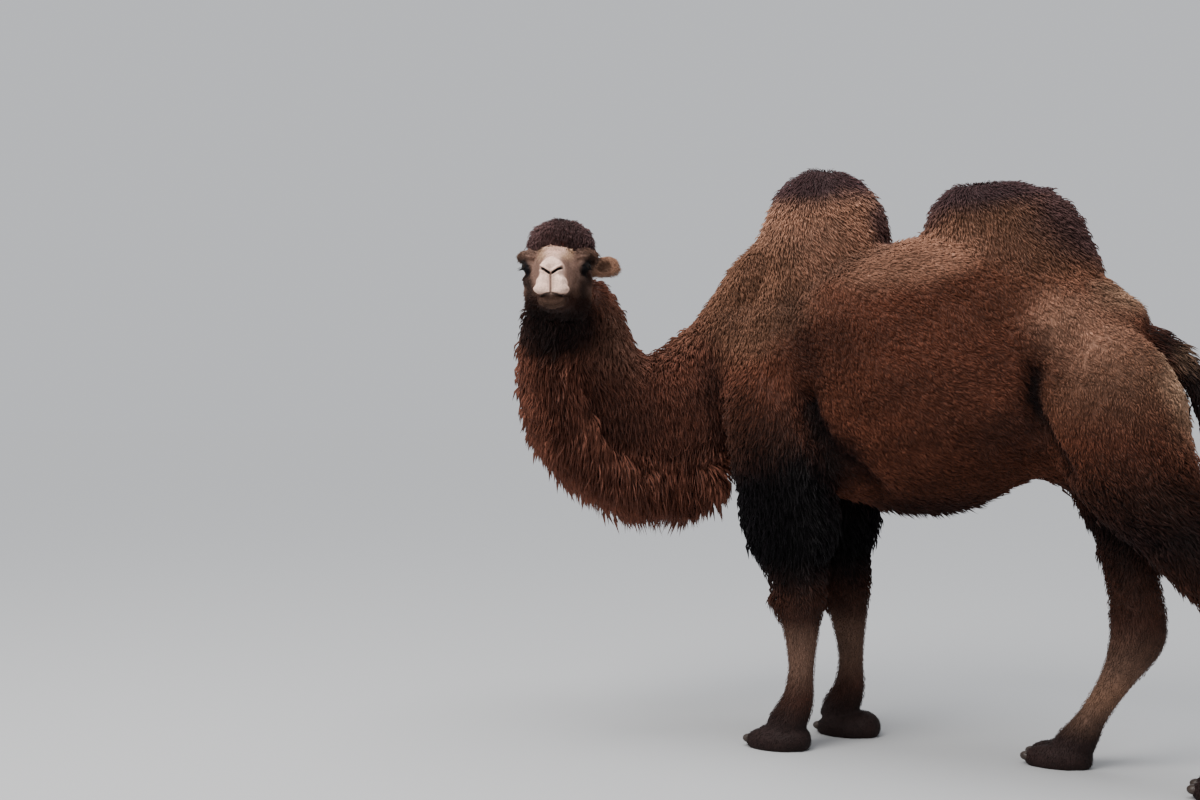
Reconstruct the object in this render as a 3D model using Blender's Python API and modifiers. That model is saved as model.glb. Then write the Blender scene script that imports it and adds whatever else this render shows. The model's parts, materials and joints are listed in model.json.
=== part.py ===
"""A Bactrian camel at life size, standing with its head turned back to its left.

Lengths are metres. While the animal is built, x runs backwards from a point midway between
the fore feet, y runs to the animal's right, and z runs up from the ground. At the end the
whole animal is moved so that the origin lies under the centre of its bounding box.

Every mass of the body is a loft: a smooth row of ellipses through a few named stations, each
with a centre, a half width across the body ("side"), a half height ("depth") and a heading.
The masses are melted into one skin, which is then parted with thin cuts into named nodes.
All outlines reach out to the tips of the coat.
"""

import math
from collections import namedtuple

import bmesh
import bpy
from mathutils import Matrix, Vector

# ---------------------------------------------------------------- driving dimensions

GAP = 0.0006  # clear width of every parting cut
BODY_VOXEL = 0.014  # grain of the first melt, of the big masses alone
BODY_SMOOTHING_ROUNDS = 14
VOXEL = 0.009  # grain of the second melt, with the legs, mane, tail and head
SMOOTHING_ROUNDS = 5
LEG_OVERLAP = (6, 4)  # the first melt takes a leg's first six stations, the second all past four
BODY_TRIANGLES = 4300  # after thinning, before the parting cuts add their faces
RING_POINTS = 24

EYE_RADIUS = 0.021
EYE = Vector((0.026, 0.106, 0.0))  # the left eye's middle, in the head's axes
HEAD_HEADING = 118.0  # degrees that the head is turned to the left of the body
HEAD_ORIGIN = Vector((-0.765, -0.632, 1.787))  # midway between the eyes

Station = namedtuple("Station", "x y z side depth heading", defaults=[0.0])

# ---------------------------------------------------------------- the masses of the body

TRUNK = [
    Station(-0.31, 0, 1.31, 0.10, 0.14),
    Station(-0.25, 0, 1.32, 0.20, 0.27),
    Station(-0.15, 0, 1.35, 0.275, 0.37),
    Station(0.03, 0, 1.38, 0.33, 0.44),
    Station(0.25, 0, 1.40, 0.375, 0.49),
    Station(0.45, 0, 1.40, 0.395, 0.495),
    Station(0.65, 0, 1.405, 0.385, 0.47),
    Station(0.85, 0, 1.39, 0.345, 0.40),
    Station(1.03, 0, 1.34, 0.30, 0.34),
    Station(1.17, 0, 1.31, 0.24, 0.27),
    Station(1.27, 0, 1.32, 0.13, 0.16),
]

# Humps rise, so their "side" is across the body and their "depth" is along it.
HUMP_FRONT = [
    Station(0.05, 0, 1.60, 0.27, 0.33),
    Station(0.04, 0, 1.80, 0.205, 0.285),
    Station(0.045, 0, 1.95, 0.16, 0.25),
    Station(0.045, 0, 2.05, 0.13, 0.21),
    Station(0.05, 0, 2.11, 0.10, 0.165),
    Station(0.055, 0, 2.155, 0.07, 0.11),
    Station(0.06, 0, 2.18, 0.03, 0.045),
]
HUMP_REAR = [
    Station(0.75, 0, 1.56, 0.27, 0.35),
    Station(0.735, 0, 1.72, 0.22, 0.32),
    Station(0.71, 0, 1.84, 0.185, 0.29),
    Station(0.68, 0, 1.93, 0.16, 0.265),
    Station(0.66, 0, 2.00, 0.13, 0.215),
    Station(0.655, 0, 2.05, 0.09, 0.15),
    Station(0.655, 0, 2.08, 0.04, 0.07),
]
WITHERS_RIDGE = [
    Station(0.00, 0, 1.84, 0.15, 0.13),
    Station(-0.15, 0, 1.77, 0.17, 0.16),
    Station(-0.27, 0, 1.65, 0.17, 0.15),
    Station(-0.40, 0, 1.53, 0.15, 0.11),
    Station(-0.50, 0, 1.45, 0.12, 0.08),
]
NECK = [
    Station(0.00, 0.00, 1.42, 0.27, 0.36, 0),
    Station(-0.22, 0.00, 1.42, 0.24, 0.35, 0),
    Station(-0.42, -0.01, 1.335, 0.205, 0.255, 5),
    Station(-0.59, -0.05, 1.245, 0.185, 0.245, 20),
    Station(-0.74, -0.13, 1.26, 0.175, 0.24, 40),
    Station(-0.83, -0.23, 1.36, 0.17, 0.235, 55),
    Station(-0.85, -0.31, 1.49, 0.16, 0.235, 68),
    Station(-0.835, -0.38, 1.61, 0.15, 0.215, 82),
    Station(-0.82, -0.45, 1.70, 0.13, 0.16, 100),
]
THROAT_MANE = [
    Station(-0.45, -0.02, 1.12, 0.10, 0.09, 0),
    Station(-0.52, -0.035, 1.01, 0.13, 0.15, 10),
    Station(-0.61, -0.06, 0.98, 0.14, 0.16, 22),
    Station(-0.70, -0.13, 1.00, 0.14, 0.155, 40),
    Station(-0.82, -0.25, 1.09, 0.14, 0.15, 60),
    Station(-0.885, -0.37, 1.24, 0.135, 0.14, 75),
    Station(-0.895, -0.46, 1.42, 0.13, 0.125, 95),
    Station(-0.86, -0.53, 1.56, 0.112, 0.09, 110),
    Station(-0.83, -0.56, 1.63, 0.10, 0.06, 115),
]
TAIL = [
    Station(1.12, 0, 1.50, 0.09, 0.07),
    Station(1.21, 0, 1.485, 0.07, 0.06),
    Station(1.30, 0, 1.415, 0.055, 0.055),
    Station(1.37, 0, 1.30, 0.047, 0.05),
    Station(1.42, 0.005, 1.16, 0.043, 0.045),
    Station(1.445, 0.01, 1.00, 0.05, 0.05),
    Station(1.455, 0.015, 0.86, 0.05, 0.05),
    Station(1.455, 0.02, 0.76, 0.02, 0.02),
]

# A fore leg from the shoulder blade down to the pastern, on the animal's right.
FORE_LEG = [
    Station(-0.02, 0.14, 1.50, 0.10, 0.16),
    Station(-0.05, 0.205, 1.30, 0.14, 0.21),
    Station(-0.04, 0.215, 1.12, 0.15, 0.205),
    Station(-0.025, 0.20, 0.95, 0.145, 0.195),
    Station(-0.015, 0.19, 0.83, 0.13, 0.18),
    Station(-0.005, 0.18, 0.71, 0.105, 0.125),
    Station(0.012, 0.175, 0.62, 0.09, 0.102),
    Station(0.014, 0.17, 0.54, 0.088, 0.10),
    Station(0.020, 0.17, 0.45, 0.066, 0.074),
    Station(0.020, 0.17, 0.30, 0.052, 0.051),
    Station(0.005, 0.17, 0.18, 0.062, 0.064),
    Station(-0.035, 0.17, 0.09, 0.07, 0.075),
]
HIND_LEG_RIGHT = [
    Station(1.00, 0.16, 1.44, 0.12, 0.19),
    Station(1.06, 0.19, 1.28, 0.155, 0.24),
    Station(1.09, 0.18, 1.10, 0.145, 0.23),
    Station(1.09, 0.15, 0.95, 0.12, 0.17),
    Station(1.11, 0.12, 0.80, 0.092, 0.11),
    Station(1.135, 0.09, 0.66, 0.08, 0.092),
    Station(1.150, 0.08, 0.54, 0.072, 0.098),
    Station(1.145, 0.075, 0.46, 0.066, 0.094),
    Station(1.085, 0.075, 0.33, 0.057, 0.060),
    Station(1.01, 0.075, 0.20, 0.051, 0.050),
    Station(0.955, 0.075, 0.10, 0.062, 0.062),
]
HIND_LEG_LEFT = [
    Station(1.00, -0.16, 1.44, 0.12, 0.19),
    Station(1.08, -0.20, 1.30, 0.155, 0.24),
    Station(1.14, -0.20, 1.15, 0.155, 0.23),
    Station(1.215, -0.19, 1.00, 0.14, 0.185),
    Station(1.305, -0.175, 0.87, 0.115, 0.135),
    Station(1.40, -0.15, 0.74, 0.10, 0.11),
    Station(1.475, -0.13, 0.62, 0.085, 0.096),
    Station(1.535, -0.12, 0.52, 0.074, 0.090),
    Station(1.55, -0.115, 0.43, 0.064, 0.078),
    Station(1.535, -0.11, 0.30, 0.052, 0.053),
    Station(1.515, -0.11, 0.18, 0.058, 0.058),
    Station(1.49, -0.11, 0.09, 0.066, 0.07),
]
FORE_LEFT_SHIFT = (-0.005, 0.0)
FORE_RIGHT_SHIFT = (0.085, -0.005)  # at the ground; the leg leans, so less at the shoulder
LEAN_HEIGHT = 1.5  # where a leaning leg's shift has faded to nothing

# The middle of each foot's pad, with its half length and half width.
Foot = namedtuple("Foot", "x y half_length half_width")
FEET = {
    "fore_left": Foot(-0.067, -0.17, 0.122, 0.095),
    "fore_right": Foot(0.085, 0.165, 0.125, 0.095),
    "hind_left": Foot(1.455, -0.11, 0.115, 0.085),
    "hind_right": Foot(0.89, 0.075, 0.118, 0.085),
}

# The head, in its own axes: x forwards from the eyes, y to its left, z up.
SKULL = [
    Station(-0.25, 0, -0.04, 0.085, 0.09),
    Station(-0.17, 0, -0.04, 0.118, 0.13),
    Station(-0.09, 0, -0.045, 0.125, 0.14),
    Station(-0.01, 0, -0.04, 0.117, 0.125),
    Station(0.06, 0, -0.045, 0.092, 0.108),
    Station(0.13, 0, -0.05, 0.075, 0.092),
    Station(0.20, 0, -0.052, 0.058, 0.077),
    Station(0.26, 0, -0.050, 0.050, 0.062),
    Station(0.295, 0, -0.052, 0.042, 0.050),
    Station(0.315, 0, -0.055, 0.026, 0.034),
]
UPPER_LIP = [
    Station(0.18, 0, -0.080, 0.048, 0.042),
    Station(0.24, 0, -0.085, 0.062, 0.042),
    Station(0.285, 0, -0.088, 0.064, 0.038),
    Station(0.32, 0, -0.090, 0.046, 0.028),
]
CHIN = [
    Station(0.04, 0, -0.125, 0.060, 0.036),
    Station(0.14, 0, -0.132, 0.046, 0.030),
    Station(0.22, 0, -0.136, 0.044, 0.026),
    Station(0.275, 0, -0.136, 0.030, 0.018),
]
BROW_BALLS = (  # centre and radii of the ridge round the left eye, and of the cheek
    ((-0.020, 0.100, 0.020), (0.062, 0.040, 0.034)),
    ((-0.015, 0.100, -0.030), (0.060, 0.034, 0.030)),
)
TOPKNOT = [
    Station(-0.07, 0.012, 0.01, 0.100, 0.080),
    Station(-0.07, 0.012, 0.055, 0.122, 0.100),
    Station(-0.07, 0.012, 0.085, 0.131, 0.112),
    Station(-0.075, 0.012, 0.12, 0.122, 0.108),
    Station(-0.08, 0.012, 0.15, 0.095, 0.090),
    Station(-0.085, 0.012, 0.172, 0.055, 0.055),
    Station(-0.085, 0.012, 0.181, 0.020, 0.020),
]

# Ears run outwards, so their "side" is their thickness and their "depth" is their height.
EAR_LEFT = [
    Station(-0.115, 0.095, 0.005, 0.018, 0.022, 90),
    Station(-0.125, 0.130, 0.010, 0.018, 0.034, 90),
    Station(-0.138, 0.170, 0.018, 0.017, 0.042, 90),
    Station(-0.150, 0.205, 0.022, 0.014, 0.038, 90),
    Station(-0.158, 0.230, 0.024, 0.008, 0.018, 90),
]
EAR_RIGHT = [
    Station(-0.125, -0.095, 0.005, 0.018, 0.022, 25),
    Station(-0.155, -0.118, 0.014, 0.018, 0.034, 25),
    Station(-0.190, -0.134, 0.024, 0.017, 0.042, 25),
    Station(-0.222, -0.143, 0.032, 0.014, 0.038, 25),
    Station(-0.245, -0.147, 0.036, 0.008, 0.018, 25),
]
EAR_CUPS = {  # centre, radii and turn of the hollow in each ear
    "ear_left": ((-0.118, 0.172, 0.018), (0.016, 0.040, 0.028), 15),
    "ear_right": ((-0.188, -0.152, 0.026), (0.040, 0.015, 0.028), 15),
}
NOSTRILS = {  # centre, radii and roll of each slanting slit
    "nostril_left": ((0.300, 0.022, -0.046), (0.022, 0.017, 0.0045), 22),
    "nostril_right": ((0.300, -0.022, -0.046), (0.022, 0.017, 0.0045), -22),
}
LIP_CLEFT = ((0.327, 0, -0.082), (0.016, 0.004, 0.034))

# ---------------------------------------------------------------- where the skin is parted

# Thin boxes: middle, size, heading and pitch. Those of the head are in the head's axes.
PARTINGS = {
    "chest": ((-0.345, 0, 1.35), (GAP, 1.0, 1.3), 0, 0),
    "neck_middle": ((-0.70, -0.13, 1.47), (GAP, 0.9, 0.80), 35, 0),
    "mane": ((-0.75, -0.2, 1.07), (0.81, 1.0, GAP), 0, 0),
    "hump_front": ((0.045, 0, 1.895), (0.76, 0.6, GAP), 0, -6),
    "hump_rear": ((0.725, 0, 1.865), (0.74, 0.6, GAP), 0, 9),
    "tail": ((1.385, 0.0, 1.27), (0.17, 0.13, GAP), 0, 18),
    "forearms": ((0.03, 0, 0.875), (0.62, 0.9, GAP), 0, 0),
    "fore_knees": ((0.06, 0, 0.555), (0.60, 0.9, GAP), 0, 0),
    "fore_feet": ((0.02, 0, 0.125), (0.60, 0.9, GAP), 0, 0),
    "thigh_left": ((1.28, -0.327, 0.93), (0.66, 0.55, GAP), 0, 0),
    "thigh_right": ((1.06, 0.27, 0.93), (0.52, 0.56, GAP), 0, 0),
    "hocks": ((1.34, 0, 0.50), (0.78, 0.9, GAP), 0, 0),
    "hind_feet": ((1.22, 0, 0.115), (0.90, 0.9, GAP), 0, 0),
}
HEAD_PARTINGS = {
    "throat": ((-0.135, 0, -0.095), (0.60, 0.50, GAP), 0, 40),
    "mouth": ((0.20, 0, -0.122), (0.32, 0.20, GAP), 0, 0),
    "jaw_hinge": ((0.04, 0, -0.172), (GAP, 0.24, 0.10), 0, 0),
}

# Each node's colour and about where its middle lies, by which its piece is recognised.
HEAD_SEEDS = {"head": (0.02, 0, -0.03), "jaw": (0.15, 0, -0.14)}
SEEDS = {
    "neck_upper": (-0.83, -0.35, 1.45),
    "neck_lower": (-0.50, -0.05, 1.35),
    "throat_mane": (-0.64, -0.12, 0.96),
    "trunk": (0.45, 0, 1.40),
    "hump_front": (0.04, 0, 2.02),
    "hump_rear": (0.69, 0, 1.95),
    "tail": (1.43, 0.01, 1.02),
    "foreleg_upper_left": (-0.02, -0.18, 0.71),
    "foreleg_lower_left": (0.01, -0.17, 0.34),
    "forefoot_left": (-0.06, -0.17, 0.06),
    "foreleg_upper_right": (0.08, 0.18, 0.71),
    "foreleg_lower_right": (0.10, 0.17, 0.34),
    "forefoot_right": (0.09, 0.165, 0.06),
    "hindleg_upper_left": (1.38, -0.15, 0.72),
    "hindleg_lower_left": (1.53, -0.11, 0.31),
    "hindfoot_left": (1.46, -0.11, 0.06),
    "hindleg_upper_right": (1.12, 0.12, 0.72),
    "hindleg_lower_right": (1.08, 0.075, 0.31),
    "hindfoot_right": (0.89, 0.075, 0.06),
}
BROWN = (0.13, 0.070, 0.040)
RUST = (0.15, 0.065, 0.035)
TAN = (0.26, 0.16, 0.09)
DARK = (0.035, 0.022, 0.018)
GREY_TAN = (0.15, 0.10, 0.07)
CREAM = (0.55, 0.46, 0.38)
EYE_COLOUR = (0.012, 0.008, 0.006)
COLOURS = {
    "head": TAN,
    "jaw": BROWN,
    "topknot": DARK,
    "neck_upper": RUST,
    "neck_lower": RUST,
    "throat_mane": RUST,
    "hump_front": DARK,
    "hump_rear": DARK,
    "tail": DARK,
    "foreleg_upper": DARK,
    "foreleg_lower": GREY_TAN,
    "forefoot": DARK,
    "hindleg_upper": BROWN,
    "hindleg_lower": GREY_TAN,
    "hindfoot": DARK,
    "ear": TAN,
    "eye": EYE_COLOUR,
}


# ---------------------------------------------------------------- lofts and primitives


def between(a, b, c, d, t):
    """A Catmull-Rom curve's value at t between b and c."""
    return 0.5 * (
        2 * b
        + (c - a) * t
        + (2 * a - 5 * b + 4 * c - d) * t**2
        + (3 * b - a - 3 * c + d) * t**3
    )


def smooth_row(stations, steps):
    """The stations with more of them on a smooth curve between each two."""
    row = []
    last = len(stations) - 1
    for i in range(last):
        around = [stations[min(max(k, 0), last)] for k in (i - 1, i, i + 1, i + 2)]
        for step in range(steps):
            row.append(Station(*(between(*v, step / steps) for v in zip(*around))))
    row.append(stations[-1])
    return row


def loft_into(mesh, stations, place=Matrix.Identity(4), ring=RING_POINTS, steps=4):
    """Adds a closed loft of ellipses, square to the row's own line, to a bmesh."""
    row = smooth_row(stations, steps)
    centres = [Vector((s.x, s.y, s.z)) for s in row]
    rings = []
    for i, s in enumerate(row):
        along = (centres[min(i + 1, len(row) - 1)] - centres[max(i - 1, 0)]).normalized()
        turn = math.radians(s.heading)
        side = Vector((-math.sin(turn), math.cos(turn), 0))
        side = (side - side.dot(along) * along).normalized()
        up = along.cross(side)
        points = []
        for k in range(ring):
            a = 2 * math.pi * k / ring
            offset = side * (s.side * math.cos(a)) + up * (s.depth * math.sin(a))
            points.append(mesh.verts.new(place @ (centres[i] + offset)))
        rings.append(points)
    for a, b in zip(rings, rings[1:]):
        for k in range(ring):
            n = (k + 1) % ring
            mesh.faces.new((a[k], a[n], b[n], b[k]))
    mesh.faces.new(reversed(rings[0]))
    mesh.faces.new(rings[-1])


def ball_into(mesh, centre, radii, place=Matrix.Identity(4)):
    """Adds an ellipsoid to a bmesh."""
    matrix = place @ Matrix.Translation(centre) @ Matrix.Diagonal((*radii, 1))
    bmesh.ops.create_uvsphere(mesh, u_segments=24, v_segments=16, radius=1, matrix=matrix)


def moved(stations, shift):
    return [s._replace(x=s.x + shift[0], y=s.y + shift[1]) for s in stations]


def leaning(stations, shift):
    """Moves a leg's stations, the most at the ground and the least at the shoulder."""
    parts = [1 - max(s.z, 0) / LEAN_HEIGHT for s in stations]
    return [
        s._replace(x=s.x + shift[0] * part, y=s.y + shift[1] * part)
        for s, part in zip(stations, parts)
    ]


def mirrored(stations):
    return [s._replace(y=-s.y, heading=-s.heading) for s in stations]


def head_matrix():
    """The head's axes, forwards, to its left and up, in the body's; the body faces -x."""
    turn = math.radians(HEAD_HEADING)
    forward = Vector((-math.cos(turn), -math.sin(turn), 0))
    left = Vector((-forward.y, forward.x, 0))
    axes = Matrix((forward, left, Vector((0, 0, 1)))).transposed().to_4x4()
    return Matrix.Translation(HEAD_ORIGIN) @ axes


HEAD = head_matrix()


# ---------------------------------------------------------------- Blender helpers


def clear_scene():
    for thing in list(bpy.data.objects):
        bpy.data.objects.remove(thing)


def collection(name):
    """A new collection in the scene."""
    made = bpy.data.collections.new(name)
    bpy.context.scene.collection.children.link(made)
    return made


def thing_from(mesh, name, home):
    """An object made of a finished bmesh."""
    bmesh.ops.recalc_face_normals(mesh, faces=mesh.faces)
    data = bpy.data.meshes.new(name)
    mesh.to_mesh(data)
    mesh.free()
    thing = bpy.data.objects.new(name, data)
    home.objects.link(thing)
    return thing


def bake(thing):
    """Turns an object's modifiers into its mesh."""
    graph = bpy.context.evaluated_depsgraph_get()
    data = bpy.data.meshes.new_from_object(thing.evaluated_get(graph))
    thing.modifiers.clear()
    thing.data = data
    data.name = thing.name


def cut(thing, tool):
    """Takes another thing's room out of this one."""
    change = thing.modifiers.new("Cut", "BOOLEAN")
    change.operation = "DIFFERENCE"
    change.solver = "EXACT"
    change.object = tool
    bake(thing)


def slab(name, centre, size, home, heading=0.0, pitch=0.0):
    """A thin box: heading turns it about z, then pitch tips it about its own y."""
    mesh = bmesh.new()
    turn = Matrix.Rotation(math.radians(heading), 4, "Z")
    tip = Matrix.Rotation(math.radians(pitch), 4, "Y")
    matrix = Matrix.Translation(centre) @ turn @ tip @ Matrix.Diagonal((*size, 1))
    bmesh.ops.create_cube(mesh, size=1, matrix=matrix)
    thing = thing_from(mesh, name, home)
    thing.hide_render = True
    thing.display_type = "WIRE"
    return thing


# ---------------------------------------------------------------- the melted skin


def foot_into(mesh, foot):
    """Two toes side by side, a heel and an instep, all sunk a little below the ground."""
    for side in (-1, 1):
        centre = Vector((foot.x - 0.02, foot.y + side * foot.half_width * 0.48, 0.026))
        radii = (foot.half_length * 0.86, foot.half_width * 0.54, 0.058)
        ball_into(mesh, centre, radii)
    heel = Vector((foot.x + foot.half_length * 0.42, foot.y, 0.035))
    ball_into(mesh, heel, (foot.half_length * 0.58, foot.half_width * 0.78, 0.065))
    instep = Vector((foot.x + foot.half_length * 0.10, foot.y, 0.060))
    ball_into(mesh, instep, (foot.half_length * 0.66, foot.half_width * 0.72, 0.062))


def legs():
    return (
        leaning(FORE_LEG, FORE_RIGHT_SHIFT),
        moved(mirrored(FORE_LEG), FORE_LEFT_SHIFT),
        HIND_LEG_RIGHT,
        HIND_LEG_LEFT,
    )


def melt(thing, voxel, rounds):
    remesh = thing.modifiers.new("Melt", "REMESH")
    remesh.mode = "VOXEL"
    remesh.voxel_size = voxel
    soften = thing.modifiers.new("Soften", "SMOOTH")
    soften.factor = 0.5
    soften.iterations = rounds
    bake(thing)


def body_masses(home):
    """The trunk, humps, neck and thick upper legs, melted until their joins are soft."""
    mesh = bmesh.new()
    for stations in (TRUNK, HUMP_FRONT, HUMP_REAR, WITHERS_RIDGE, NECK):
        loft_into(mesh, stations)
    for stations in legs():
        loft_into(mesh, stations[: LEG_OVERLAP[0]])
    thing = thing_from(mesh, "body", home)
    melt(thing, BODY_VOXEL, BODY_SMOOTHING_ROUNDS)
    return thing


def melted_skin(home):
    body = body_masses(home)
    mesh = bmesh.new()
    mesh.from_mesh(body.data)
    bpy.data.objects.remove(body)
    for stations in (THROAT_MANE, TAIL):
        loft_into(mesh, stations)
    for stations in legs():
        loft_into(mesh, stations[LEG_OVERLAP[1] :])
    for foot in FEET.values():
        foot_into(mesh, foot)
    for stations in (SKULL, UPPER_LIP, CHIN):
        loft_into(mesh, stations, HEAD)
    for (x, y, z), radii in BROW_BALLS:
        ball_into(mesh, (x, y, z), radii, HEAD)
        ball_into(mesh, (x, -y, z), radii, HEAD)
    thing = thing_from(mesh, "flesh", home)
    melt(thing, VOXEL, SMOOTHING_ROUNDS)
    return thing


def thin_out(thing, budget):
    """Collapses edges down to a budget of triangles, keeping more of them on the head."""
    fine = thing.vertex_groups.new(name="fine")
    middle = HEAD @ Vector((0.08, 0, -0.05))
    for vertex in thing.data.vertices:
        far = ((vertex.co - middle).length - 0.20) / 0.10
        fine.add([vertex.index], 0.9 * (1.0 - min(max(far, 0.0), 1.0)), "REPLACE")
    thin = thing.modifiers.new("Thin", "DECIMATE")
    triangles = sum(len(p.vertices) - 2 for p in thing.data.polygons)
    thin.ratio = budget / triangles
    thin.vertex_group = "fine"
    thin.vertex_group_factor = 0.02
    thin.invert_vertex_group = True
    bake(thing)


def islands(thing):
    """The separate pieces of a mesh, as lists of its face numbers."""
    mesh = bmesh.new()
    mesh.from_mesh(thing.data)
    seen = set()
    found = []
    for face in mesh.faces:
        if face.index in seen:
            continue
        seen.add(face.index)
        heap = [face]
        piece = []
        while heap:
            one = heap.pop()
            piece.append(one.index)
            for edge in one.edges:
                for other in edge.link_faces:
                    if other.index not in seen:
                        seen.add(other.index)
                        heap.append(other)
        found.append(piece)
    mesh.free()
    return found


def piece_of(thing, faces, name, home):
    """A new object made of some of another's faces."""
    mesh = bmesh.new()
    mesh.from_mesh(thing.data)
    keep = set(faces)
    drop = [f for f in mesh.faces if f.index not in keep]
    bmesh.ops.delete(mesh, geom=drop, context="FACES")
    return thing_from(mesh, name, home)


def middle_of(thing, faces):
    spots = [thing.data.vertices[v].co for f in faces for v in thing.data.polygons[f].vertices]
    low = Vector(min(s[i] for s in spots) for i in range(3))
    high = Vector(max(s[i] for s in spots) for i in range(3))
    return (low + high) / 2


def part_into_nodes(flesh, home):
    """Every piece of the parted skin takes the name of the nearest seed."""
    seeds = {name: Vector(spot) for name, spot in SEEDS.items()}
    seeds.update({name: HEAD @ Vector(spot) for name, spot in HEAD_SEEDS.items()})
    for faces in islands(flesh):
        middle = middle_of(flesh, faces)
        name = min(seeds, key=lambda n: (seeds[n] - middle).length)
        print(name, len(faces), "faces, off its seed by", round((seeds[name] - middle).length, 3))
        seeds.pop(name)
        piece_of(flesh, faces, name, home)
    bpy.data.objects.remove(flesh)


# ---------------------------------------------------------------- separate masses of the head


def head_mass(name, stations, home):
    mesh = bmesh.new()
    loft_into(mesh, stations, HEAD, ring=14, steps=2)
    return thing_from(mesh, name, home)


def head_ball(name, centre, radii, home, heading=0.0, roll=0.0, segments=16):
    """An ellipsoid in the head's axes, rolled about x and then turned about z."""
    mesh = bmesh.new()
    turn = Matrix.Rotation(math.radians(heading), 4, "Z")
    lean = Matrix.Rotation(math.radians(roll), 4, "X")
    matrix = HEAD @ Matrix.Translation(centre) @ turn @ lean @ Matrix.Diagonal((*radii, 1))
    rings = segments * 2 // 3
    bmesh.ops.create_uvsphere(mesh, u_segments=segments, v_segments=rings, radius=1, matrix=matrix)
    return thing_from(mesh, name, home)


def clear_of(thing, other, home):
    """Trims a thing where it would meet another, leaving a thin gap."""
    swollen = other.copy()
    swollen.data = other.data.copy()
    home.objects.link(swollen)
    swell = swollen.modifiers.new("Swell", "DISPLACE")
    swell.strength = GAP
    swell.mid_level = 0.0
    bake(swollen)
    cut(thing, swollen)
    bpy.data.objects.remove(swollen)


def largest_piece(thing, home):
    """Drops any crumbs that a cut has left."""
    pieces = islands(thing)
    if len(pieces) > 1:
        best = max(pieces, key=len)
        name = thing.name
        kept = piece_of(thing, best, name + "_kept", home)
        bpy.data.objects.remove(thing)
        kept.name = name
        kept.data.name = name
        return kept
    return thing


# ---------------------------------------------------------------- colours and placing


def colour(thing):
    key = thing.name.rsplit("_left", 1)[0].rsplit("_right", 1)[0]
    material = bpy.data.materials.new(thing.name)
    material.use_nodes = True
    shader = material.node_tree.nodes["Principled BSDF"]
    shader.inputs["Base Color"].default_value = (*COLOURS.get(key, BROWN), 1)
    shader.inputs["Roughness"].default_value = 0.15 if key == "eye" else 0.85
    thing.data.materials.clear()
    thing.data.materials.append(material)


def settle(things):
    """Moves everything so that the origin is under the middle of the bounding box."""
    spots = [v.co for t in things for v in t.data.vertices]
    low = Vector(min(s[i] for s in spots) for i in range(3))
    high = Vector(max(s[i] for s in spots) for i in range(3))
    shift = -Vector(((low.x + high.x) / 2, (low.y + high.y) / 2, low.z))
    for thing in things:
        thing.data.transform(Matrix.Translation(shift))
    print("moved by", [round(c, 4) for c in shift], "size", [round(c, 3) for c in high - low])


def main():
    clear_scene()
    animal = collection("bactrian_camel")
    cutters = collection("cutters")

    flesh = melted_skin(animal)
    thin_out(flesh, BODY_TRIANGLES)
    ground = slab("cut_ground", (0.4, 0, -0.25), (4, 3, 0.5), cutters)
    cut(flesh, ground)

    for name, (centre, radii, roll) in NOSTRILS.items():
        cut(flesh, head_ball("cut_" + name, centre, radii, cutters, roll=roll, segments=10))
    cut(flesh, head_ball("cut_cleft", *LIP_CLEFT, cutters, segments=10))

    for name, side in (("eye_left", 1), ("eye_right", -1)):
        centre = (EYE.x, side * EYE.y, EYE.z)
        room = [EYE_RADIUS + GAP] * 3
        cut(flesh, head_ball("cut_" + name, centre, room, cutters, segments=14))
        head_ball(name, centre, [EYE_RADIUS] * 3, animal, segments=14)

    topknot = head_mass("topknot", TOPKNOT, animal)
    clear_of(topknot, flesh, cutters)
    topknot = largest_piece(topknot, animal)
    for name, stations in (("ear_left", EAR_LEFT), ("ear_right", EAR_RIGHT)):
        ear = head_mass(name, stations, animal)
        centre, radii, turn = EAR_CUPS[name]
        cut(ear, head_ball("cut_" + name, centre, radii, cutters, heading=turn))
        clear_of(ear, flesh, cutters)
        clear_of(ear, topknot, cutters)
        largest_piece(ear, animal)

    for name, (middle, size, heading, pitch) in PARTINGS.items():
        cut(flesh, slab("part_" + name, middle, size, cutters, heading, pitch))
    for name, (middle, size, heading, pitch) in HEAD_PARTINGS.items():
        box = slab("part_" + name, middle, size, cutters, heading, pitch)
        box.data.transform(HEAD)
        cut(flesh, box)
    part_into_nodes(flesh, animal)

    for cutter in cutters.objects:
        cutter.hide_render = True
        cutter.display_type = "WIRE"
    nodes = list(animal.objects)
    settle(nodes)
    for thing in nodes:
        colour(thing)
    faces = sum(len(p.vertices) - 2 for t in nodes for p in t.data.polygons)
    print(len(nodes), "nodes with", faces, "triangles")


main()
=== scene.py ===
# %% [markdown]
# # A Bactrian camel in its woolly coat
# A life-size camel stands with its head turned back to look at us. Underneath is one closed
# skin. Over it lie more than a hundred thousand locks of wool, each of them a thin solid mesh.
# The lesson goes from a few rows of named sizes to the skin, the face, the coat and the light.
#
# The first cell loads the measured solids, which are the frame that everything has to fit.

# %% Load the measured solids
import json
import math
import time
from collections import namedtuple

import bmesh
import bpy
import numpy as np
from mathutils import Matrix, Vector

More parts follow.
